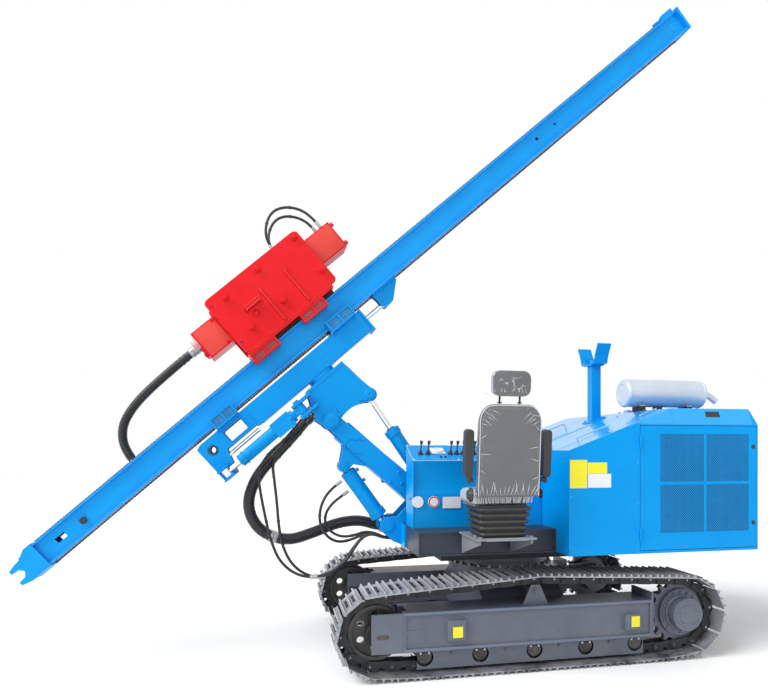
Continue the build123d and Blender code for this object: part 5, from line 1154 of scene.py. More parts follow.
def makeHood():
    half = hood["half"]
    bm = bmesh.new()
    rise = slopeUp * hood["handleLift"]
    for x0, x1, y in hood["handles"]:
        low, high = onSlope(x0, y), onSlope(x1, y)
        grab(bm, [low, low + rise, high + rise, high], hood["handle"])
    # stay rod lying on the slope, in two clips
    start, end = onSlope(0.872, -0.748, 0.012), onSlope(1.030, -0.734, 0.012)
    rod(bm, start, end, 0.0042, sides=10)
    for share in (0.08, 0.92):
        block(bm, start.lerp(end, share) - slopeUp * 0.006, (0.012, 0.016, 0.012), soft=0.002)
    # handles and stay rod in the paler blue that paints them as lit
    piece("hoodHandles", bm, "lightPaint", "upper")

    bm = bmesh.new()
    # fold lines: raised rims along the slope's sides, the nose and the roof's edges
    front, nose, slopeEnd = hood["front"], hood["nose"], hood["slopeEnd"] * 0.732
    doorFront, doorRear, _, doorTop = hood["door"]
    for sign in (-1, 1):
        y = sign * (half - 0.003)
        rod(bm, at(front + 0.004, y, nose + 0.0005), at(slopeEnd, y, slopeAt(slopeEnd)), 0.0032, sides=8)
        rod(bm, at(doorFront, sign * (half - 0.002), doorTop + 0.008),
            at(doorRear, sign * (half - 0.002), doorTop + 0.008), 0.0032, sides=8)
        rod(bm, at(front + 0.003, y, 0.80), at(front + 0.003, y, nose - 0.004), 0.0030, sides=8)
        # small bolts on the front corner and rear post
        for x, zs in hood["sideBolts"]:
            for z in zs:
                turned(bm, at(x, sign * half, z), (0, sign, 0),
                       [(0, 0.0065), (0.002, 0.006), (0.004, 0.003), (0.0042, 0)], sides=12)
    rod(bm, at(front + 0.002, -half + 0.006, nose - 0.001), at(front + 0.002, half - 0.006, nose - 0.001),
        0.0032, sides=8)
    # screws of the nose and rear panels, and the grille's frame at the rear
    wide, z0, z1 = hood["grille"]
    block(bm, at(hood["rear"] + 0.0015, 0, (z0 + z1) / 2), (0.003, wide, z1 - z0), soft=0.0012)
    for x, way, (ys, zs) in ((front, -1, hood["noseScrews"]), (hood["rear"], 1, hood["rearScrews"])):
        for y in ys:
            for z in zs:
                hexBolt(bm, at(x, y, z), (way, 0, 0), across=0.012, high=0.005)
    # the rims in the lighter blue that paints the hood top as lit
    piece("hoodRims", bm, "hoodPaint", "upper")

    bm = bmesh.new()
    # rear cooling louvres: a stack of folded blades in the frame
    rows, low, pitch = hood["louvres"]
    for row in range(rows):
        block(bm, at(hood["rear"] + 0.0055, 0, low + row * pitch), (0.010, wide - 0.06, 0.003),
              turn=Matrix.Rotation(radians(38), 4, "Y"), soft=0.0008, steps=1)
    piece("rearLouvres", bm, "bluePaint", "upper")

    bm = bmesh.new()
    # vent in the near shoulder, caps on the slope, and the dark seam in front of each door
    turn = Matrix.Rotation(atan2(hood["roof"] - hood["shoulderZ"], hood["shoulder"]), 4, "X")
    block(bm, at(1.3875, 0.029 - half, 1.8455), (0.121, 0.046, 0.003), turn=turn, soft=0.001, steps=1)
    for x, y in hood["slopeCaps"]:
        turned(bm, onSlope(x, y), slopeUp, [(0, 0.009), (0.003, 0.008), (0.004, 0.004), (0.004, 0)], sides=14)
    for sign in (-1, 1):
        block(bm, at(doorFront - 0.0065, sign * (half - 0.002), 1.296), (0.0030, 0.0035, 0.900))
    piece("hoodVent", bm, "blackPaint", "upper")

    bm = bmesh.new()
    # filler cap and breather on the roof, in the paler blue that paints them as lit
    turned(bm, at(1.099, -0.176, 1.889), upright, [(0, 0.040), (0.004, 0.040), (0.006, 0.034), (0.018, 0.034),
                                                   (0.020, 0.031), (0.024, 0.030), (0.026, 0.026),
                                                   (0.026, 0.010), (0.030, 0.008), (0.030, 0)], sides=32)
    turned(bm, at(1.070, -0.091, 1.889), upright, [(0, 0.014), (0.010, 0.014), (0.014, 0.010), (0.015, 0)],
           sides=18)
    piece("fillerCap", bm, "lightPaint", "upper")
    for number, (paint, x0, x1, z0, z1) in enumerate(hood["labels"]):
        bm = bmesh.new()
        sideLabel(bm, (x0, x1), half, (z0, z1), -1, thick=0.0010)
        piece("hoodLabel_%d" % number, bm, paint, "upper")
    print("hood detailed")


# muffler: end rims, bands, saddles and clamp; and the mast rest on the slope
muffler = {"front": 0.930, "long": 0.720, "radius": 0.112, "y": -0.390, "z": 2.040, "saddles": (1.080, 1.510),
           "pipe": 1.250}
mastRest = {"x": 0.878, "weldY": 0.0425, "padZ": 2.305}


def makeMuffler():
    bm = bmesh.new()
    x0, x1, y, radius = muffler["front"], muffler["front"] + muffler["long"], muffler["y"], muffler["radius"]
    start = at(x0, y, muffler["z"])
    along = Vector((1, 0, 0))
    for x, way in ((x0 + 0.018, 1), (x1 - 0.018, -1)):
        turned(bm, at(x, y, muffler["z"]), along * way,
               [(0, radius), (0.002, radius + 0.0035), (0.008, radius + 0.0035), (0.010, radius)], sides=64)
    turned(bm, start + along * 0.0004, -along, [(-0.001, 0.086), (0.000, 0.086), (0.0035, 0.080),
                                                (0.0035, 0.074), (0.001, 0.070), (0.001, 0.062), (0.0, 0.060)],
           sides=48)
    turned(bm, at(x1 - 0.001, y, muffler["z"]), along,
           [(0, 0.046), (0.006, 0.040), (0.012, 0.032), (0.022, 0.0285), (0.022, 0.0272)], sides=32)
    top = muffler["z"] + radius + 0.0012
    rod(bm, at(x0 + 0.016, y, top), at(x1 - 0.016, y, top), 0.0022, sides=8)
    piece("mufflerRims", bm, "silverPaint", "upper")
    bm = bmesh.new()
    roof = hood["roof"]
    for x in muffler["saddles"]:
        block(bm, at(x, y, roof + 0.0045), (0.070, 0.200, 0.007), soft=0.002)
        block(bm, at(x, y, roof + 0.0260), (0.053, 0.123, 0.040), soft=0.002)
        for side in (-1, 1):
            hexBolt(bm, at(x, y + side * 0.080, roof + 0.008), upright, across=0.016, high=0.009)
            block(bm, at(x, y + side * 0.052, roof + 0.025), (0.044, 0.005, 0.038), soft=0.0015)
    # the pipe's collars where it goes through the roof
    for lift, profile in ((0.0005, [(0, 0.056), (0.006, 0.056), (0.008, 0.050), (0.008, 0.036)]),
                          (0.008, [(0, 0.0342), (0, 0.0355), (0.036, 0.0355), (0.036, 0.0342)]),
                          (0.022, [(0, 0.0342), (0, 0.040), (0.014, 0.040), (0.014, 0.0342)])):
        turned(bm, at(muffler["pipe"], y, roof + lift), upright, profile)
    piece("mufflerBands", bm, "linkSteel", "upper")
    # mast rest: foot flange, bolts and the pads' screws
    bm = bmesh.new()
    x, weld = mastRest["x"], mastRest["weldY"]
    foot = onSlope(x, 0, 0.003)
    turn = Matrix((slopeWay, across, slopeWay.cross(across))).transposed().to_4x4()
    for side in (-1, 1):
        block(bm, foot + across * side * 0.066 + slopeUp * 0.001, (0.150, 0.046, 0.008), turn=turn, soft=0.002)
        block(bm, foot + slopeWay * side * 0.064 + slopeUp * 0.001, (0.036, 0.086, 0.008), turn=turn,
              soft=0.002)
        for way in (-0.052, 0.052):
            hexBolt(bm, foot + across * side * 0.068 + slopeWay * way + slopeUp * 0.005, slopeUp, across=0.017,
                    high=0.009)
        bead(bm, [at(x + dx, side * weld, slopeAt(x + dx) + 0.010) for dx in (-0.042, 0.042)], 0.005, sides=6)
        bead(bm, [at(x + dx, side * weld, mastRest["padZ"]) for dx in (-0.040, 0.040)], 0.005, sides=6)
        for dx in (-0.046, 0.046):
            turned(bm, at(x + dx, side * 0.070, mastRest["padZ"] + 0.045), upright,
                   [(0, 0.010), (0.0004, 0.006), (0.0006, 0)], sides=12)
    piece("restTrim", bm, "bluePaint", "upper")
    print("muffler and rest detailed")


# console: gauge, levers' boots, switches, blank signs
console = {
    "front": -0.841, "rear": 0.196, "near": -0.455, "far": -0.190, "face": 1.494, "back": 1.612,
    "signs": ((-0.803, 1.182), (-0.679, 1.180)),
    "plate": (-0.608, -0.466, 1.130, 1.217),
    "levers": (-0.760, -0.700, -0.520, -0.470, -0.420, -0.330, -0.280, -0.230),
    "leverY": -0.345,
    "buttons": (-0.610, -0.575, -0.150, -0.110, -0.070),
    "rockers": (0.020, 0.080, 0.140),
    "buttonY": -0.400,
    "gauge": (-0.610, -0.290),
    "dials": (-0.150, -0.080),
    "screws": ((-0.831, -0.480, -0.130, 0.186), (-0.445, -0.200)),
    "endBolts": (1.02, 1.20, 1.38),
}


def makeConsole():
    near = console["near"]
    rise = (console["back"] - console["face"]) / (console["far"] - near)
    topUp = Vector((0, -rise, 1)).normalized()

    def onTop(x, y):
        return at(x, y, console["face"] + (y - near) * rise)

    bm = bmesh.new()
    for x in console["levers"]:
        turned(bm, onTop(x, console["leverY"]), topUp, [(-0.001, 0.022), (0.003, 0.022), (0.005, 0.019),
                                                        (0.009, 0.020), (0.012, 0.015), (0.017, 0.016),
                                                        (0.020, 0.011), (0.027, 0.010), (0.030, 0.0075)],
               sides=20)
    for x in console["buttons"]:
        turned(bm, onTop(x, console["buttonY"]), topUp,
               [(0, 0.010), (0.003, 0.010), (0.004, 0.007), (0.012, 0.006), (0.014, 0.004), (0.014, 0)],
               sides=16)
    for x in console["rockers"]:
        block(bm, onTop(x, console["buttonY"]) + topUp * 0.004, (0.022, 0.032, 0.010), soft=0.002)
    piece("consoleFittings", bm, "hardPlastic", "upper")

    bm = bmesh.new()
    # gauge plate with dials, small nuts, and switch plates
    gauge = onTop(*console["gauge"])
    block(bm, gauge + topUp * 0.0015, (0.110, 0.110, 0.003), soft=0.0012,
          turn=Matrix.Rotation(atan2(rise, 1), 4, "X"))
    for x in console["dials"]:
        turned(bm, onTop(x, console["gauge"][1]), topUp,
               [(0, 0.031), (0.006, 0.031), (0.008, 0.028), (0.008, 0.026), (0.005, 0.0255), (0.005, 0)],
               sides=36)
    turned(bm, gauge + topUp * 0.003, topUp,
           [(0, 0.043), (0.006, 0.043), (0.009, 0.040), (0.009, 0.037), (0.006, 0.0365), (0.006, 0)], sides=44)
    xs, ys = console["screws"]
    for x in xs:
        for y in ys:
            hexBolt(bm, onTop(x, y), topUp, across=0.011, high=0.005)
    piece("consoleGauges", bm, "whiteLabel", "upper")

    bm = bmesh.new()
    for x, z in console["signs"]:
        turned(bm, at(x, near + 0.006, z), (0, -1, 0),
               [(0, 0.044), (0.007, 0.044), (0.0078, 0.043), (0.0078, 0)], sides=48)
    x0, x1, z0, z1 = console["plate"]
    block(bm, at((x0 + x1) / 2, near + 0.0022, (z0 + z1) / 2), (x1 - x0, 0.006, z1 - z0), soft=0.001, steps=1)
    piece("consoleSigns", bm, "whiteLabel", "upper")
    bm = bmesh.new()
    x, z = console["signs"][1]
    turned(bm, at(x, near - 0.0017, z), (0, -1, 0), [(0, 0.032), (0.0006, 0.032), (0.0006, 0.042), (0, 0.042)],
           sides=48)
    piece("signRing", bm, "redLabel", "upper")

    bm = bmesh.new()
    # folded rims round the console's ends and along its front edge, in the paler blue that paints them as lit
    for x in (console["front"] + 0.002, console["rear"] - 0.002):
        rod(bm, at(x, near + 0.003, console["face"]), at(x, console["far"] - 0.003, console["back"]), 0.0035,
            sides=8)
        for z in console["endBolts"]:
            hexBolt(bm, at(console["front"], near + 0.100, z), (-1, 0, 0), across=0.013, high=0.006)
    rod(bm, at(console["front"] + 0.004, near + 0.002, console["face"]),
        at(console["rear"] - 0.004, near + 0.002, console["face"]), 0.0035, sides=8)
    piece("consoleRims", bm, "lightPaint", "upper")
    print("console detailed")


makeDoors()
makeHood()
makeMuffler()
makeConsole()


# hammer: side plate bolts, ribs' welds, holes, lug, fittings; places are (up the mast, away from the cradle)
hammer = {
    "face": 0.170,
    "bolts": ((-0.515, 0.570), (-0.189, 0.586), (0.186, 0.600), (0.189, 0.282), (-0.194, 0.287),
              (-0.512, 0.282)),
    "bolt": 0.030,
    "ribs": (-0.036, -0.276),
    "holes": ((-0.641, 0.246, 0.011), (-0.640, 0.585, 0.009)),
    "ribEnds": (0.168, 0.452),
    "lug": (-0.466, -0.317, 0.394, 0.426),
    "sole": (-0.660, 0.174, 0.152),
    "claws": ((-0.668, -0.425), (-0.176, 0.055)),
    "head": ((0.236, 0.489), (0.315, 0.545)),
    "foot": ((-0.888, -0.668), (0.300, 0.535)),
    "housingSide": 0.1135,
    "drops": ((-0.197, 0.218), (-0.183, 0.214), (-0.330, 0.386), (-0.318, 0.379)),
    "shank": (-0.888, 0.417),
    "tieBolts": ((-0.550, -0.300, -0.050, 0.150), 0.625),
    "studs": ((0.345, 0.520), (-0.060, 0.060)),
}


def hole(bm, place, way, radius, lip):
    # an open hole: a rounded rim round a sunk floor in the piece's second finish; that floor, black on the
    # hammer, is painted shade for the hole's inside
    turned(bm, place, way, [(0.0002, 0), (0.0002, radius), (0.0022, radius), (0.0022, radius + lip * 0.6),
                            (0.0002, radius + lip)], sides=20)
    turned(bm, place + way * 0.0004, way, [(0, 0), (0.0002, radius * 0.96), (0, radius * 0.96)], sides=20,
           paint=1)


def shadedPocketFloors(name, zones, v0, v1, y, paint, body):
    # painted shade: thin floors inside the claws' pockets, with bolts, in a darker copy of the paint
    bm = bmesh.new()
    for sign in (-1, 1):
        for u0, u1 in zones:
            half = (u0 + u1) / 2
            for a, b in ((u0 + 0.014, half - 0.007), (half + 0.007, u1 - 0.014)):
                block(bm, onMast((a + b) / 2, sign * (y + 0.0008), (v0 + v1) / 2),
                      (b - a - 0.002, 0.0012, v1 - v0 - 0.002), turn=mastTurn, soft=0.0003, steps=1)
                hexBolt(bm, onMast(a + 0.030, sign * (y + 0.0014), (v0 + v1) / 2), (0, sign, 0), across=0.016,
                        high=0.006)
    piece(name, bm, paint, body)


def housing(bm, zone, y, shift, short, low):
    # cover plate on both sides of one of the hammer's end housings
    (u0, u1), (v0, v1) = zone
    for sign in (-1, 1):
        block(bm, onMast((u0 + u1) / 2 + shift, sign * y, (v0 + v1) / 2),
              (u1 - u0 - short, 0.005, v1 - v0 - low), turn=mastTurn, soft=0.002)


def makeHammer():
    face = hammer["face"]
    bm = bmesh.new()
    for sign in (-1, 1):
        out = Vector((0, sign, 0))
        for number, (u, v) in enumerate(hammer["bolts"]):
            hexBolt(bm, onMast(u, sign * (face + 0.018), v), out, across=hammer["bolt"], high=0.015,
                    turn=number * 0.7)
            ring(bm, onMast(u, sign * face, v), out, 0.0235, 0.0300, 0.006, sides=28)
        # welds down both sides of each rib, round the lug and along the sole
        for u in hammer["ribs"]:
            for shift in (-0.0085, 0.0085):
                bead(bm, [onMast(u + shift, sign * (face + 0.001), v) for v in hammer["ribEnds"]], 0.0042,
                     sides=6)
            rod(bm, onMast(u, sign * (face + 0.012), 0.456), onMast(u, sign * (face + 0.012), 0.459), 0.006,
                sides=12)
        y = sign * (face + 0.0015)
        u0, u1, v0, v1 = hammer["lug"]
        bead(bm, [onMast(u, y, v) for u, v in ((u0, v0), (u1, v0), (u1, v1), (u0, v1), (u0, v0))], 0.0050,
             sides=6)
        u0, u1, v0 = hammer["sole"]
        bead(bm, [onMast(u, sign * (face - 0.001), v0) for u in (u0, u1)], 0.0058, sides=7)
        # the lug's turned-down end and the pin under it
        block(bm, onMast(-0.4555, sign * (face + 0.022), 0.391), (0.016, 0.044, 0.012), turn=mastTurn,
              soft=0.003)
        turned(bm, onMast(-0.412, sign * face, 0.338), out,
               [(0, 0.030), (0.004, 0.029), (0.010, 0.020), (0.016, 0.018), (0.019, 0.015), (0.019, 0)],
               sides=24)
        bead(bm, [onMast(-0.372, y, 0.352), onMast(-0.352, y, 0.372)], 0.005, sides=6)
        for u, v in hammer["drops"]:
            turned(bm, onMast(u, sign * face, v), out,
                   [(-0.001, 0.009), (0.003, 0.0065), (0.0042, 0.003), (0.0045, 0)], sides=10)
        # short runs of weld where the sole meets the claws
        for u0, u1 in hammer["claws"]:
            bead(bm, [onMast(u, sign * (face + 0.0085), 0.128) for u in (u0 + 0.004, u1 - 0.004)], 0.0046,
                 sides=6)
            for u in (u0 + 0.020, u0 + 0.055, u1 - 0.030):
                turned(bm, onMast(u, sign * face, 0.162), out, [(-0.001, 0.008), (0.004, 0.005), (0.005, 0)],
                       sides=9)
        # holes whose black floors are painted shade
        for u, v, radius in hammer["holes"]:
            hole(bm, onMast(u, sign * face, v), out, radius, 0.005)
        # a rolled edge along the top of the plate
        rod(bm, onMast(-0.630, sign * (face - 0.003), 0.6385), onMast(0.200, sign * (face - 0.003), 0.6385),
            0.004, sides=8)
        # end housings: plugs, and the seam where each meets the plate
        side = hammer["housingSide"]
        for u, v in ((-0.700, 0.515), (-0.712, 0.320)):
            spot = onMast(u, sign * (side + 0.0015), v)
            turned(bm, spot, out, [(0, 0.012), (0.004, 0.011), (0.006, 0.006), (0.006, 0)], sides=14)
            ring(bm, spot, out, 0.012, 0.018, 0.003, sides=18)
        for u, (v0, v1), radius in ((hammer["foot"][0][1], hammer["foot"][1], 0.006),
                                    (hammer["head"][0][0] + 0.001, hammer["head"][1], 0.005)):
            bead(bm, [onMast(u, sign * side, v) for v in (v0 + 0.004, v1 - 0.004)], radius, sides=6)
    housing(bm, hammer["head"], hammer["housingSide"], 0.004, 0.020, 0.016)
    housing(bm, hammer["foot"], hammer["housingSide"], -0.004, 0.016, 0.016)
    # lower end: a square flange, a bush for the cap's shank and four bolts
    u, v = hammer["shank"]
    block(bm, onMast(u - 0.0005, 0, v), (0.010, 0.170, 0.170), turn=mastTurn, soft=0.004)
    turned(bm, onMast(u, 0, v), -mastUp,
           [(-0.01, 0.0385), (-0.01, 0.062), (0.012, 0.062), (0.016, 0.056), (0.016, 0.0385)], sides=40)
    for y in (-0.070, 0.070):
        for dv in (-0.070, 0.070):
            hexBolt(bm, onMast(u - 0.0055, y, v + dv), -mastUp, across=0.020, high=0.010)
    # long tie bolts between the plates at the upper edge
    us, v = hammer["tieBolts"]
    for u in us:
        rod(bm, onMast(u, -0.151, v), onMast(u, 0.151, v), 0.011, sides=14)
        for y in (-0.149, 0.149):
            rod(bm, onMast(u, y - 0.006, v), onMast(u, y + 0.006, v), 0.014, sides=6)
    # top cover of the breaker between the plates, with screws, and a lifting eye
    block(bm, onMast(-0.216, 0, 0.6105), (0.560, 0.240, 0.007), turn=mastTurn, soft=0.003)
    for u in (-0.470, -0.300, -0.130, 0.040):
        for y in (-0.104, 0.104):
            hexBolt(bm, onMast(u, y, 0.614), mastOut, across=0.016, high=0.008)
    block(bm, onMast(0.362, 0, 0.5455), (0.180, 0.150, 0.006), turn=mastTurn, soft=0.0025)
    for u in (0.285, 0.440):
        for y in (-0.064, 0.064):
            hexBolt(bm, onMast(u, y, 0.5485), mastOut, across=0.013, high=0.007)
    piece("hammerTrim", bm, ("redPaint", "blackPaint"), "hammer")
    # painted highlight: lighter orange-red rods along the corners of the ribs, the lug and the sole
    bm = bmesh.new()
    for sign in (-1, 1):
        edges = [((u - 0.005, 0.0235, 0.166), (u - 0.005, 0.0235, 0.455), 0.0026) for u in hammer["ribs"]]
        edges += [((u, 0.002, 0.4565), (u, 0.023, 0.4565), 0.0045) for u in hammer["ribs"]]
        edges += [((-0.462, 0.0455, v), (-0.321, 0.0455, v), 0.0026) for v in (0.3965, 0.4235)]
        edges += [((-0.650, -0.001, 0.1505), (0.170, -0.001, 0.1505), 0.0042)]
        for start, end, radius in edges:
            rod(bm, *(onMast(u, sign * (face + lift), v) for u, lift, v in (start, end)), radius, sides=8)
    piece("ribEdgeHighlights", bm, "orangeRed", "hammer")
    # wiper strips under the sole
    bm = bmesh.new()
    for sign in (-1, 1):
        block(bm, onMast(-0.246, sign * 0.060, 0.1140), (0.840, 0.007, 0.0262), turn=mastTurn, soft=0.0012,
              steps=1)
    piece("soleWipers", bm, "bellowsRubber", "hammer")
    shadedPocketFloors("hammerPocketShade", hammer["claws"], 0.063, 0.113, 0.164, "dullRed", "hammer")
    bm = bmesh.new()
    for zone in (hammer["head"], hammer["foot"]):
        housing(bm, zone, hammer["housingSide"] + 0.0005, 0, 0.024, 0.020)
    piece("housingCovers", bm, "orangeRed", "hammer")

    # fittings: hose collar, plugs, and the threaded studs on the head
    bm = bmesh.new()
    vs, ys = hammer["studs"]
    for v in vs:
        for y in ys:
            turned(bm, onMast(hammer["head"][0][1], y, v), mastUp,
                   [(0, 0.024), (0.006, 0.024), (0.008, 0.019), (0.026, 0.0195), (0.030, 0.021), (0.032, 0.018),
                    (0.032, 0.010)], sides=6)
    rod(bm, onMast(-0.902, -0.040, 0.372), onMast(-0.886, -0.040, 0.372), 0.024, sides=6, soft=0.002)
    rod(bm, onMast(-0.914, -0.052, 0.352), onMast(-0.890, -0.052, 0.352), 0.016, sides=6, soft=0.002)
    piece("hammerFittings", bm, "darkRed", "hammer")
    bm = bmesh.new()
    turned(bm, onMast(-0.888, -0.076, 0.455), -mastUp,
           [(0, 0.044), (0.006, 0.046), (0.012, 0.044), (0.014, 0.041), (0.0145, 0.041)], sides=6)
    turned(bm, onMast(-0.900, -0.076, 0.455), -mastUp,
           [(0, 0.0405), (0, 0.042), (0.010, 0.040), (0.020, 0.0375), (0.034, 0.0370), (0.036, 0.0335)],
           sides=28)
    piece("hoseCollar", bm, "palePink", "hammer")
    print("hammer detailed")


makeHammer()

# mast: welds, seams, end plates, chain and its wheels
mast = {
    "low": -2.729, "high": 4.202, "depth": 0.097, "web": 0.072,
    "seams": (-1.900, -0.550, 1.150, 2.850),
    "holes": ((2.409, 0.010, 0.012), (2.594, 0.007, 0.012)),
    "motor": (-2.365, -0.008),
    "wheel": 4.084,
    "ends": ((-2.716, 0.002, 0.006), (4.190, 0.001, 0.004)),       # welds: place, lift off the web, radius
    "clips": (1.95, 2.70, 3.30, 3.90),
    "chainPitch": 0.0508,
}


def chainLink():
    # one roller-chain pitch: two inner plates, two outer plates and a roller, a few dozen faces
    bm = bmesh.new()
    pitch = mast["chainPitch"]
    half = [(-0.006, -0.0065), (0.006, -0.0065), (0.012, -0.004), (pitch / 2 - 0.012, -0.004)]
    outline = half + [(pitch / 2 - 0.003, -0.0065), (pitch / 2 + 0.006, -0.0065), (pitch / 2 + 0.006, 0.0065),
                      (pitch / 2 - 0.003, 0.0065), (pitch / 2 - 0.012, 0.004), (0.012, 0.004), (0.006, 0.0065),
                      (-0.006, 0.0065)]
    for shift, y in ((0, 0.0125), (pitch / 2, 0.0102)):
        for mirror in (1, -1):
            plate(bm, Matrix.Translation((shift, mirror * y + 0.0011, 0)) @ edgeOn, outline, 0.0022)
    for x in (0, pitch / 2):
        rod(bm, (x, -0.0095, 0), (x, 0.0095, 0), 0.0058, sides=8)
        rod(bm, (x, -0.0138, 0), (x, 0.0138, 0), 0.0028, sides=6)
    bmesh.ops.recalc_face_normals(bm, faces=bm.faces)
    return meshOf(bm, "chainLink")


def makeChain():
    # both runs of the chain, between the ends of the node's own two strips
    inMast = mastFrame.inverted()
    verts = [inMast @ vert.co for vert in nodes["feed_chain"].data.vertices]
    bm = bmesh.new()
    link = chainLink()
    for side in (1, -1):
        run = [p for p in verts if p.z * side > 0.05]
        start, end = min(p.x for p in run), max(p.x for p in run)
        v = side * (mast["depth"] + 0.010)
        step = mast["chainPitch"]
        count = int((end - start - 0.020) / step)
        for number in range(count):
            stamp(bm, link, mastFrame @ Matrix.Translation((start + 0.008 + number * step, 0, v)))
    chain = piece("feedChain", bm, "chainSteel", "mast", outward=False)
    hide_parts("feed_chain")


def makeMast():
    depth, web = mast["depth"], mast["web"]
    bm = bmesh.new()
    for sign in (-1, 1):
        out = Vector((0, sign, 0))
        # the long fillet welds between flange and web
        for v in (-depth, depth):
            inside = v - 0.014 * (1 if v > 0 else -1)
            rod(bm, *(onMast(u, sign * web, inside) for u in (mast["low"] + 0.010, mast["high"] - 0.010)),
                0.0026, sides=8)
        # butt welds between lengths of the beam
        for u in mast["seams"]:
            bead(bm, [onMast(u, sign * web, -depth + 0.018), onMast(u, sign * web, depth - 0.018)], 0.0024,
                 sides=6)
        for u, v, radius in mast["holes"]:
            ring(bm, onMast(u, sign * web, v), out, radius + 0.001, radius + 0.006, 0.0025, sides=22)
        # motor cover near the foot: a round cap with a raised crescent lip
        u, v = mast["motor"]
        ring(bm, onMast(u, sign * web, v), out, 0.0262, 0.034, 0.005, sides=36)
        for turn in range(4):
            angle = turn * pi / 2 + pi / 4
            hexBolt(bm, onMast(u + 0.046 * cos(angle), sign * web, v + 0.046 * sin(angle)), out, across=0.010,
                    high=0.005, washer=False)
        # wheel bearing near the head: a low round boss
        turned(bm, onMast(mast["wheel"], sign * web, 0.0), out,
               [(0, 0.040), (0.003, 0.038), (0.003, 0.026), (0.006, 0.024), (0.006, 0.012), (0.004, 0.010),
                (0.004, 0)], sides=32)
        # welds of the foot's fork plates and of the head's closing flange
        for u, lift, radius in mast["ends"]:
            bead(bm, [onMast(u, sign * (web + lift), v) for v in (-depth + 0.016, depth - 0.016)], radius,
                 sides=6)
        # hose clips along the lower flange
        for u in mast["clips"]:
            block(bm, onMast(u, sign * 0.094, -depth - 0.004), (0.030, 0.010, 0.008), turn=mastTurn, soft=0.002)
    piece("mastTrim", bm, "mastPaint", "mast")
    makeChain()
    print("mast detailed")


makeMast()

# cradle: welds, shoe screws, gibs and the swing bracket
cradle = {"face": 0.095, "shoes": ((-1.220, -1.012), (-0.060, 0.182)), "socket": (-1.344, -0.224),
          "window": (-1.1175, -0.218, 0.165, 0.096),
          "welds": (((0.196, -0.300), (0.212, -0.150), 0.0038), ((-0.950, -0.304), (0.205, -0.304), 0.0036),
                    ((-0.960, -0.300), (-0.962, -0.150), 0.0036)),
          "plugs": ((-0.600, -0.225), (-0.250, -0.225), (0.060, -0.225))}


def makeCradle():
    face = cradle["face"]
    bm = bmesh.new()
    for sign in (-1, 1):
        out = Vector((0, sign, 0))
        y = sign * (face + 0.0005)
        for (u0, v0), (u1, v1), radius in cradle["welds"]:
            bead(bm, [onMast(u0, y, v0), onMast(u1, y, v1)], radius, sides=6)
        for u0, u1 in cradle["shoes"]:
            bead(bm, [onMast(u, sign * (face + 0.001), -0.1375) for u in (u0 + 0.004, u1 - 0.004)], 0.005,
                 sides=6)
            for u in (u0 + 0.022, (u0 + u1) / 2, u1 - 0.022):
                hexBolt(bm, onMast(u, sign * 0.128, -0.1405), -mastOut, across=0.017, high=0.009)
            rod(bm, onMast(u0 + 0.010, sign * 0.1495, -0.042), onMast(u1 - 0.010, sign * 0.1495, -0.042), 0.003,
                sides=8)
        # window: a raised rim all round
        u, v, wide, high = cradle["window"]
        corners = [(u + a * (wide / 2 + 0.004), v + b * (high / 2 + 0.004)) for a,
                   b in ((-1, -1), (1, -1), (1, 1), (-1, 1))]
        for (u0, v0), (u1, v1) in zip(corners, corners[1:] + corners[:1]):
            rod(bm, onMast(u0, sign * face, v0), onMast(u1, sign * face, v1), 0.0035, sides=8)
        # plug welds on the side plates
        for u, v in cradle["plugs"]:
            turned(bm, onMast(u, sign * face, v), out,
                   [(-0.001, 0.013), (0.001, 0.012), (0.0016, 0.006), (0.0016, 0)], sides=18)
    piece("cradleTrim", bm, "bluePaint", "cradle")
    shadedPocketFloors("cradlePocketShade", cradle["shoes"], -0.121, -0.053, 0.136, "dullBlue", "cradle")
    bm = bmesh.new()
    u, v = cradle["socket"]
    for sign in (-1, 1):
        ring(bm, onMast(u, sign * face, v), (0, sign, 0), 0.0245, 0.034, 0.006, sides=32)
        ring(bm, onMast(u, sign * face, v), (0, sign, 0), 0.0375, 0.043, 0.003, sides=32)
    piece("cradleSocket", bm, "linkSteel", "cradle")
    print("cradle detailed")


makeCradle()

# knuckle and boom: pin covers, keeper plates, welds, the doubler's curved edge
pins = {name: at(x, 0, z) for name, x, z in (
    ("foot", -0.660, 1.145), ("head", -1.428, 1.812), ("tilt", -1.118, 2.016), ("lug", -1.319, 1.444),
    ("lift", -0.981, 0.975), ("heel", -0.554, 1.190))}
boomFoot, boomHead = pins["foot"], pins["head"]
boomWay = (boomHead - boomFoot).normalized()
boomTop = Vector((-boomWay.z, 0, boomWay.x)) * -1
boomTurn = Matrix((boomWay, across, boomWay.cross(across))).transposed().to_4x4()


def onBoom(along, y, up):
    return boomFoot + boomWay * along + across * y + boomTop * up


def arc(middle, radius, start, end, steps, side):
    # places on an arc in the boom's side view, angles in degrees from X towards Z
    return [middle + Vector((radius * cos(radians(a)), 0, radius * sin(radians(a)))) + across * side
            for a in [start + (end - start) * i / steps for i in range(steps + 1)]]


def keeper(bm, start, end, y, sign, wide=0.024, thick=0.008):
    # a flat keeper plate with a bolt at its far end
    start, end = Vector(start), Vector(end)
    way = (end - start).normalized()
    turn = Matrix((way, across, way.cross(across))).transposed().to_4x4()
    middle = (start + end) / 2 + across * (sign * (y + thick / 2))
    block(bm, middle, ((end - start).length, thick, wide), turn=turn, soft=0.0028)
    hexBolt(bm, end - way * 0.014 + across * (sign * (y + thick)), (0, sign, 0), across=0.015, high=0.008)


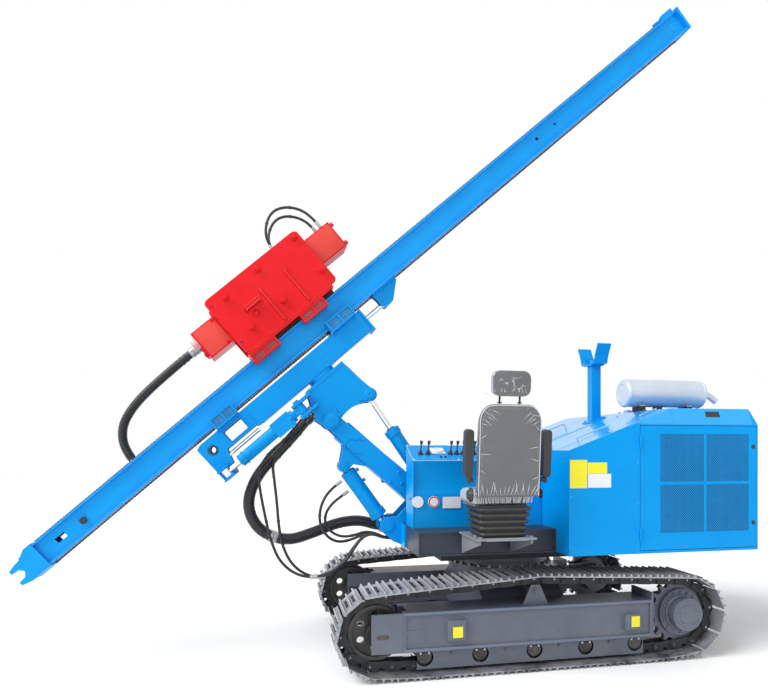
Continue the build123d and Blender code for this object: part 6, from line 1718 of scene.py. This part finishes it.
def makeKnuckle():
    bm = bmesh.new()
    for sign in (-1, 1):
        out = Vector((0, sign, 0))
        head, tilt = pins["head"], pins["tilt"]
        turned(bm, head + across * sign * 0.136, out, [(0, 0.056), (0.005, 0.055), (0.007, 0.050),
                                                       (0.007, 0.022), (0.012, 0.020), (0.012, 0.009),
                                                       (0.008, 0.008), (0.008, 0)], sides=40)
        ring(bm, head + across * sign * 0.120, out, 0.060, 0.072, 0.007, sides=44)
        turned(bm, tilt + across * sign * 0.130, out,
               [(0, 0.039), (0.004, 0.038), (0.006, 0.034), (0.006, 0.013), (0.002, 0.011), (0.002, 0)],
               sides=32)
        ring(bm, tilt + across * sign * 0.120, out, 0.042, 0.052, 0.006, sides=36)
        # hooked keeper above the head pin, long keeper beside the tilt pin
        keeper(bm, at(-1.410, 0, 1.878), at(-1.352, 0, 1.840), 0.120, sign, wide=0.026, thick=0.012)
        block(bm, at(-1.395, sign * 0.127, 1.890), (0.016, 0.014, 0.034),
              turn=Matrix.Rotation(radians(-35), 4, "Y"), soft=0.003)
        keeper(bm, at(-1.128, 0, 1.984), at(-1.205, 0, 1.972), 0.120, sign, wide=0.020, thick=0.010)
        # weld where the cheek meets the plate that the cradle turns on
        bead(bm, [onMast(-0.515, sign * 0.1205, -0.3660), onMast(-0.155, sign * 0.1205, -0.3660)], 0.0045,
             sides=6)
        rod(bm, onMast(-0.518, sign * 0.1185, -0.346), onMast(-0.152, sign * 0.1185, -0.346), 0.0022, sides=8)
    # clamp over the hoses: two bolts each side
    for y in (-0.080, 0.080):
        hexBolt(bm, at(-1.560, y, 1.935), (-0.797, 0, 0.604), across=0.018, high=0.010)
    # swing cylinder's ears: screws, and a nut on the pin
    for v, way in ((-0.486, -1), (-0.362, 1)):
        turned(bm, onMast(-0.640, -0.150, v), mastOut * way,
               [(0, 0.030), (0.003, 0.030), (0.004, 0.024), (0.014, 0.023), (0.016, 0.019), (0.016, 0)],
               sides=28)
    for u in (-0.670, -0.535):
        hexBolt(bm, onMast(u, -0.178, -0.384), mastOut, across=0.015, high=0.008)
    bead(bm, [onMast(-0.688, -0.1215, -0.387), onMast(-0.520, -0.1215, -0.387)], 0.004, sides=6)
    piece("knuckleTrim", bm, "bluePaint", "knuckle")
    print("knuckle detailed")


def makeBoom():
    bm = bmesh.new()
    for sign in (-1, 1):
        out = Vector((0, sign, 0))
        y = sign * 0.0925
        for up in (-0.0765, 0.0765):
            bead(bm, [onBoom(along, y, up * 0.985) for along in (0.200, 0.880)], 0.0030, sides=6)
        # lug doubler: a raised curved edge that runs up on the side plate, with two rounded notches
        path = arc(at(-1.262, 0, 1.604), 0.056, 200, 95, 6, y)
        path += arc(at(-1.235, 0, 1.678), 0.026, 200, 330, 5, y)
        path += arc(at(-1.180, 0, 1.684), 0.030, 190, 330, 6, y)[2:]
        for spot in path:
            turned(bm, spot - across * sign * 0.004, out,
                   [(0, 0.0058), (0.004, 0.0058), (0.008, 0.004), (0.0098, 0)], sides=10)
        for line, radius in ((path, 0.0058), (arc(at(-1.215, 0, 1.612), 0.062, 205, 300, 6, y), 0.0052)):
            for start, end in zip(line, line[1:]):
                rod(bm, start, end, radius, sides=8)
        # lug cheeks' pin: cap, ring and screw
        lug = pins["lug"] + across * sign * 0.063
        turned(bm, lug, out,
               [(0, 0.034), (0.006, 0.033), (0.009, 0.026), (0.009, 0.012), (0.014, 0.010), (0.014, 0)],
               sides=30)
        ring(bm, lug, out, 0.034, 0.041, 0.003, sides=30)
        # heel pin behind the foot
        turned(bm, pins["heel"] + across * sign * 0.068, out,
               [(0, 0.034), (0.006, 0.033), (0.009, 0.026), (0.009, 0)], sides=30)
        # three small hose tabs near the foot
        for x, z in ((-0.884, 1.397), (-0.954, 1.316), (-0.860, 1.304)):
            spot = at(x, sign * 0.092, z)
            turned(bm, spot, out, [(-0.001, 0.013), (0.006, 0.012), (0.010, 0.008), (0.016, 0.007),
                                   (0.017, 0.004), (0.017, 0)], sides=14)
    for along in (0.36, 0.60, 0.80):
        block(bm, onBoom(along, 0.060, -0.089), (0.036, 0.044, 0.006), turn=boomTurn, soft=0.002)
        hexBolt(bm, onBoom(along, 0.060, -0.092), -boomTop, across=0.014, high=0.007)
    piece("boomTrim", bm, "bluePaint", "boom")
    print("boom detailed")


cylinders = {
    "liftTrim": {"body": "boom_barrel", "pins": ("lug", "lift"), "end": 0.497, "radius": 0.062, "rod": 0.025,
                 "eye": 0.046, "half": 0.037},
    "tiltTrim": {"body": "tilt_barrel", "pins": ("heel", "tilt"), "end": 0.665, "radius": 0.058, "rod": 0.024,
                 "eye": 0.044, "half": 0.042},
}
barrelStart = 0.058


def dressCylinder(name, row):
    # barrel welds, gland with its wrench holes, wiper and grease nipple
    base, tip = (pins[pin] for pin in row["pins"])
    way = (tip - base).normalized()
    end, radius, rodRadius, eye, body = row["end"], row["radius"], row["rod"], row["eye"], row["body"]
    bm = bmesh.new()
    ring(bm, base + way * barrelStart, way, radius * 0.86, radius * 0.97, -0.006, sides=44)
    turned(bm, base + way * (barrelStart - 0.001), way, [(0, radius * 0.60), (0, radius * 0.80),
                                                         (0.004, radius * 0.9), (0.010, radius + 0.0025),
                                                         (0.016, radius + 0.001), (0.020, radius)], sides=44)
    turned(bm, base + way * (end - 0.052), way, [(0, radius), (0, radius + 0.004), (0.004, radius + 0.0085),
                                                 (0.010, radius + 0.0085), (0.011, radius + 0.0072)], sides=48)
    turned(bm, base + way * end, way, [(-0.003, radius + 0.0075), (0.001, radius + 0.0065),
                                       (0.004, radius + 0.002), (0.004, rodRadius + 0.020),
                                       (0.010, rodRadius + 0.018), (0.012, rodRadius + 0.014),
                                       (0.012, rodRadius + 0.003)], sides=48)
    side = way.cross(across).normalized()
    for turn in range(6):
        angle = turn * pi / 3 + 0.3
        spoke = side * cos(angle) + across * sin(angle)
        turned(bm, base + way * (end - 0.023) + spoke * (radius + 0.0068), spoke,
               [(0, 0.0062), (0.0012, 0.0058), (0.0012, 0.0040), (0.0004, 0.0036), (0.0004, 0)], sides=12)
    for sign in (-1, 1):
        ring(bm, base + across * sign * row["half"], (0, sign, 0), eye * 0.62, eye * 0.80, 0.0022, sides=28)
    nipple = base - way * (eye - 0.001)
    turned(bm, nipple, -way, [(0, 0.006), (0.005, 0.006), (0.006, 0.0035), (0.012, 0.0035), (0.013, 0)],
           sides=8)
    piece(name, bm, "bluePaint", body)
    bm = bmesh.new()
    turned(bm, base + way * (end + 0.0115), way, [(0, rodRadius + 0.0095), (0.002, rodRadius + 0.0095),
                                                  (0.006, rodRadius + 0.005), (0.008, rodRadius + 0.0012)],
           sides=36)
    piece(name + "Wiper", bm, "bellowsRubber", body)


def makeCylinders():
    for name, row in cylinders.items():
        dressCylinder(name, row)
    swing = onMast(-0.640, -0.150, -0.424)
    bm = bmesh.new()
    start, end, radius = 0.072, 0.600, 0.048
    turned(bm, swing - mastUp * start, -mastUp, [(0, 0.030), (0, 0.044), (0.008, 0.0505), (0.016, 0.049)],
           sides=40)
    turned(bm, swing - mastUp * (end - 0.045), -mastUp, [(0, radius), (0, radius + 0.004),
                                                         (0.004, radius + 0.0085), (0.010, radius + 0.0085),
                                                         (0.011, radius + 0.006)], sides=40)
    turned(bm, swing - mastUp * end, -mastUp,
           [(-0.002, radius + 0.006), (0.004, radius + 0.001), (0.004, 0.036), (0.012, 0.034), (0.012, 0.024)],
           sides=40)
    for along in (0.110, 0.520):
        port = swing - mastUp * along - across * radius
        turned(bm, port + across * 0.002, -across, [(0, 0.015), (0.012, 0.015), (0.014, 0.012), (0.014, 0)],
               sides=18)
        turned(bm, port - across * 0.011, -across, [(0, 0.0135), (0.008, 0.0135), (0.010, 0.011), (0.010, 0)],
               sides=6)
    piece("swingTrim", bm, "bluePaint", "swing_barrel")
    print("cylinders dressed")


makeKnuckle()
makeBoom()
makeCylinders()


# operator's seat: pads under crumpled film, a hard back panel, knob, bellows and pan
seat = {
    "x": -0.345, "half": 0.240, "height": 0.718, "recline": 5.0,
    "backFoot": (-0.345, -1.0880, 1.180),
    "voxel": 0.006, "pressure": 4.0, "frames": 20, "crumple": 0.0022,
    "folds": 26,                # size of the film's folds, per metre
    "panelOut": 0.062,
    # the bellows: folds, foot, a fold's height, width and depth of the lowest
    "bellows": (5, 0.985, 0.043, 0.300, 0.270),
    "pleats": 34,
}
lean = radians(seat["recline"])
backFrame = Matrix.Translation(at(*seat["backFoot"])) @ Matrix(((1, 0, 0), (0, -sin(lean), -cos(lean)),
                                                                (0, cos(lean), -sin(lean)))).to_4x4()


def onBack(x, up, out):
    return backFrame @ Vector((x, up, out))     # x across, up the back, out behind it


def roundedOutline(wide, high, corner, steps=5):
    found = []
    for cx, cy, start in ((wide / 2 - corner, corner, -90), (wide / 2 - corner, high - corner, 0),
                          (corner - wide / 2, high - corner, 90), (corner - wide / 2, corner, 180)):
        for i in range(steps + 1):
            angle = radians(start + 90 * i / steps)
            found.append((cx + corner * cos(angle), cy + corner * sin(angle)))
    return found


def puffed(name, spot, outline, thick, cap, paint, body, low, high):
    # a pad blown up by cloth pressure, held within cap of its start and inside a box of its own frame
    bm = bmesh.new()
    plate(bm, spot, outline, thick, soft=thick * 0.30, steps=3)
    bmesh.ops.recalc_face_normals(bm, faces=bm.faces)
    thing = placed(name + "_work", meshOf(bm, name))
    voxels = thing.modifiers.new("voxels", "REMESH")
    voxels.mode = "VOXEL"
    voxels.voxel_size = seat["voxel"]
    fine = settled(thing)
    thing.modifiers.clear()
    thing.data = fine
    start = [vert.co.copy() for vert in fine.vertices]
    moved = start
    cloth = thing.modifiers.new("cloth", "CLOTH")
    cloth.settings.use_pressure = True
    cloth.settings.uniform_pressure_force = seat["pressure"]
    cloth.settings.effector_weights.gravity = 0
    cloth.point_cache.frame_start, cloth.point_cache.frame_end = 1, seat["frames"]
    scene = bpy.context.scene
    for number in range(1, seat["frames"] + 1):
        scene.frame_set(number)
    blown = settled(thing)
    moved = [vert.co.copy() for vert in blown.vertices]
    scene.frame_set(1)
    inside = spot.inverted()
    for vert, was, now in zip(fine.vertices, start, moved):
        step = now - was
        if step.length > cap:
            step = step.normalized() * cap
        place = inside @ (was + step)
        # film lies over the pad in sharp small folds that run out from its edges
        spread = was * seat["folds"]
        fold = abs(noise.noise(spread)) + 0.6 * abs(noise.noise(spread * 2.3))
        place += (inside.to_3x3() @ vert.normal).normalized() * (fold * seat["crumple"] * -2.2)
        place = Vector([min(max(value, a), b) for value, a, b in zip(place, low, high)])
        vert.co = spot @ place
    thing.modifiers.clear()
    smooth = thing.modifiers.new("smooth", "SUBSURF")
    smooth.levels = smooth.render_levels = 1
    final = settled(thing)
    bpy.data.objects.remove(thing)
    final.name = name
    final.materials.clear()
    final.materials.append(paint)
    final.shade_smooth()
    pad = placed(name, final)
    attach(pad, body)
    return pad


def backOutline(half, height, corner=0.110, drop=0.120):
    # straight sides, and shoulders rounded in a wide curve
    found = [(-half, 0.0), (half, 0.0), (half, height - drop)]
    for i in range(1, 7):
        a = radians(90 * i / 7)
        found.append((half - corner * (1 - cos(a)), height - drop + drop * sin(a)))
    found += [(half - corner, height), (corner - half, height)]
    for i in range(1, 7):
        a = radians(90 - 90 * i / 7)
        found.append((corner - half - corner * cos(a), height - drop + drop * sin(a)))
    return found + [(-half, height - drop)]


def makeSeat():
    film, half, height = paints["filmCover"], seat["half"], seat["height"]
    # sitting cushion, flat where it rests on the suspension's pan
    spot = Matrix.Translation(at(seat["x"], -0.895, 1.212))
    cushion = puffed("seatCushion", spot @ Matrix.Translation((0, -0.181, 0)),
                     roundedOutline(0.452, 0.362, 0.055), 0.086, 0.013, film, "upper",
                     (-0.239, -0.014, -0.0115), (0.239, 0.376, 0.0985))
    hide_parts("seat_cushion")
    spot = backFrame @ Matrix.Translation((0, 0.110, 0.014))
    pad = puffed("seatBackPad", spot, backOutline(half - 0.016, height - 0.132), 0.050, 0.013, film, "upper",
                 (-half + 0.001, -0.012, -0.013), (half - 0.001, height - 0.111, 0.058))
    spot = backFrame @ Matrix.Translation((0, height + 0.037, 0.033))
    rest = puffed("headrest", spot, roundedOutline(0.276, 0.176, 0.050), 0.050, 0.012, film, "upper",
                  (-0.149, -0.011, -0.012), (0.149, 0.187, 0.060))

    # hard back panel: a dished shell with a rolled rim, which the film is stretched over
    bm = bmesh.new()
    spot = backFrame @ Matrix.Translation((0, 0.092, seat["panelOut"]))
    plate(bm, spot, backOutline(half - 0.022, height - 0.104, 0.100), 0.030, soft=0.012, steps=4)
    spot = backFrame @ Matrix.Translation((0, 0.112, 0.088))
    plate(bm, spot, backOutline(half - 0.044, height - 0.150, 0.085, 0.095), 0.0085, soft=0.004, steps=3)
    panel = piece("seatPanel", bm, "seatPanel", "upper")
    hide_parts("seat_back")
    # headrest's back panel
    bm = bmesh.new()
    spot = backFrame @ Matrix.Translation((0, height + 0.040, 0.084))
    plate(bm, spot, roundedOutline(0.262, 0.168, 0.052), 0.0090, soft=0.004, steps=3)
    piece("headrestPanel", bm, "seatPanel", "upper")

    # folds of film: thin raised creases that fan out from the corners and hang at the foot, paler as a painted
    # highlight
    bm = bmesh.new()
    creases = []
    for number in range(46):
        a = noise.noise(Vector((number * 3.1, 0.3, 7.0))) * 1.6
        b = noise.noise(Vector((number * 1.7, 5.3, 2.0))) * 1.6
        side = -1 if number % 2 else 1
        if number < 18:         # foot of the panel, fanning upwards
            x = -0.200 + 0.400 * number / 17
            creases.append(((x, 0.108), (x + a * 0.050, 0.150 + abs(b) * 0.085)))
        elif number < 30:       # both sides, half way up
            up = 0.230 + 0.050 * (number - 18)
            creases.append(((side * 0.208, up), (side * (0.170 - abs(a) * 0.060), up + b * 0.100)))
        elif number < 38:       # shoulders
            step = (number - 30) / 8
            creases.append(((side * (0.196 - 0.070 * step), 0.600 + 0.080 * step),
                            (side * (0.140 - 0.070 * step), 0.560 + 0.085 * step + a * 0.03)))
        else:                   # headrest
            x = -0.110 + 0.220 * (number - 38) / 7
            creases.append(((x, height + 0.046), (x + a * 0.045, height + 0.080 + abs(b) * 0.050)))
    for number, (start, end) in enumerate(creases):
        out = 0.0985 if number < 38 else 0.0930
        first, last = onBack(*start, out - 0.0030), onBack(*end, out)
        middle = first.lerp(last, 0.45) + backFrame.to_3x3() @ Vector((0, 0, 0.0004))
        rod(bm, first, middle, 0.0006, far=0.0019, sides=6)
        rod(bm, middle, last, 0.0019, far=0.0003, sides=6)
    # rolled hem of the film round the panel
    rim = backOutline(half - 0.030, height - 0.120, 0.092, 0.104)
    for (x0, u0), (x1, u1) in zip(rim[1:], rim[2:] + rim[:1]):
        rod(bm, onBack(x0, u0 + 0.100, 0.0915), onBack(x1, u1 + 0.100, 0.0915), 0.0028, sides=6)
    # pleats of the cushion's film, gathered under the panel
    for number in range(seat["pleats"]):
        x = -0.215 + 0.430 * number / (seat["pleats"] - 1)
        a = noise.noise(Vector((number * 2.3, 1.3, 4.0))) * 1.5
        top = at(seat["x"] + x, -1.0775, 1.288 + a * 0.006)
        foot = at(seat["x"] + x * (0.92 + a * 0.04) + a * 0.010, -1.0790, 1.216)
        rod(bm, top, foot, 0.0022 + abs(a) * 0.002, far=0.0048, sides=8)
    # creases, hem and pleats in a paler grey, a painted highlight along the film's folds
    piece("filmCreases", bm, "filmEdge", "upper")

    # posts, recliner knob and lever, arm hinges
    bm = bmesh.new()
    for x in (-0.070, 0.070):
        rod(bm, onBack(x, height - 0.010, 0.050), onBack(x, height + 0.050, 0.050), 0.007, sides=16)
        turned(bm, onBack(x, height - 0.006, 0.050), backFrame.to_3x3() @ Vector((0, 1, 0)),
               [(0, 0.017), (0.006, 0.016), (0.009, 0.011), (0.009, 0.0072)], sides=24)
    knob = onBack(-half, 0.105, 0.045)
    turned(bm, knob + Vector((-0.002, 0, 0)), (-1, 0, 0),
           [(0, 0.046), (0.008, 0.048), (0.014, 0.044), (0.018, 0.036), (0.020, 0.034), (0.030, 0.030),
            (0.032, 0.026), (0.032, 0)], sides=28)
    for turn in range(14):
        angle = turn * pi / 7
        spoke = backFrame.to_3x3() @ Vector((0, cos(angle), sin(angle)))
        rod(bm, knob + Vector((-0.005, 0, 0)) + spoke * 0.047, knob + Vector((-0.014, 0, 0)) + spoke * 0.045,
            0.0035, sides=6)
    turned(bm, onBack(half + 0.002, 0.105, 0.045), (1, 0, 0),
           [(0, 0.034), (0.005, 0.034), (0.008, 0.028), (0.008, 0)], sides=24)
    piece("seatFittings", bm, "hardPlastic", "upper")

    # bellows of the suspension: rounded folds, each narrower than the next one up, with deep creases between
    bm = bmesh.new()
    folds, foot, high, wide, deep = seat["bellows"]
    for fold in range(folds):
        spot = at(seat["x"], -0.960, foot + fold * high)
        for grow, z0, z1, soft in ((-0.010, 0.0, high, 0.002), (0.034, 0.0065, high - 0.0065, 0.0135)):
            w, d = wide + 0.012 * fold + grow, deep + 0.008 * fold + grow
            plate(bm, Matrix.Translation(spot + Vector((0, -d / 2, z0))), roundedOutline(w, d, 0.034), z1 - z0,
                  soft=soft, steps=3)
    bellows = piece("seatBellows", bm, "bellowsRubber", "upper", sharp=50)
    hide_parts("seat_bellows")

    # suspension: clamp bands at the bellows' ends, a pan under the cushion, and screws in the bracket
    bm = bmesh.new()
    block(bm, at(seat["x"], -0.915, 1.1985), (0.400, 0.300, 0.003), soft=0.001, steps=1)
    for x in (-0.180, 0.180):
        for y in (-1.140, -1.020):
            hexBolt(bm, at(seat["x"] + x, y, 0.985), upright, across=0.018, high=0.010)
    block(bm, at(seat["x"], -1.1585, 0.979), (0.300, 0.004, 0.020), soft=0.001, steps=1)
    piece("seatPan", bm, "greyPaint", "upper")
    print("seat made")


makeSeat()
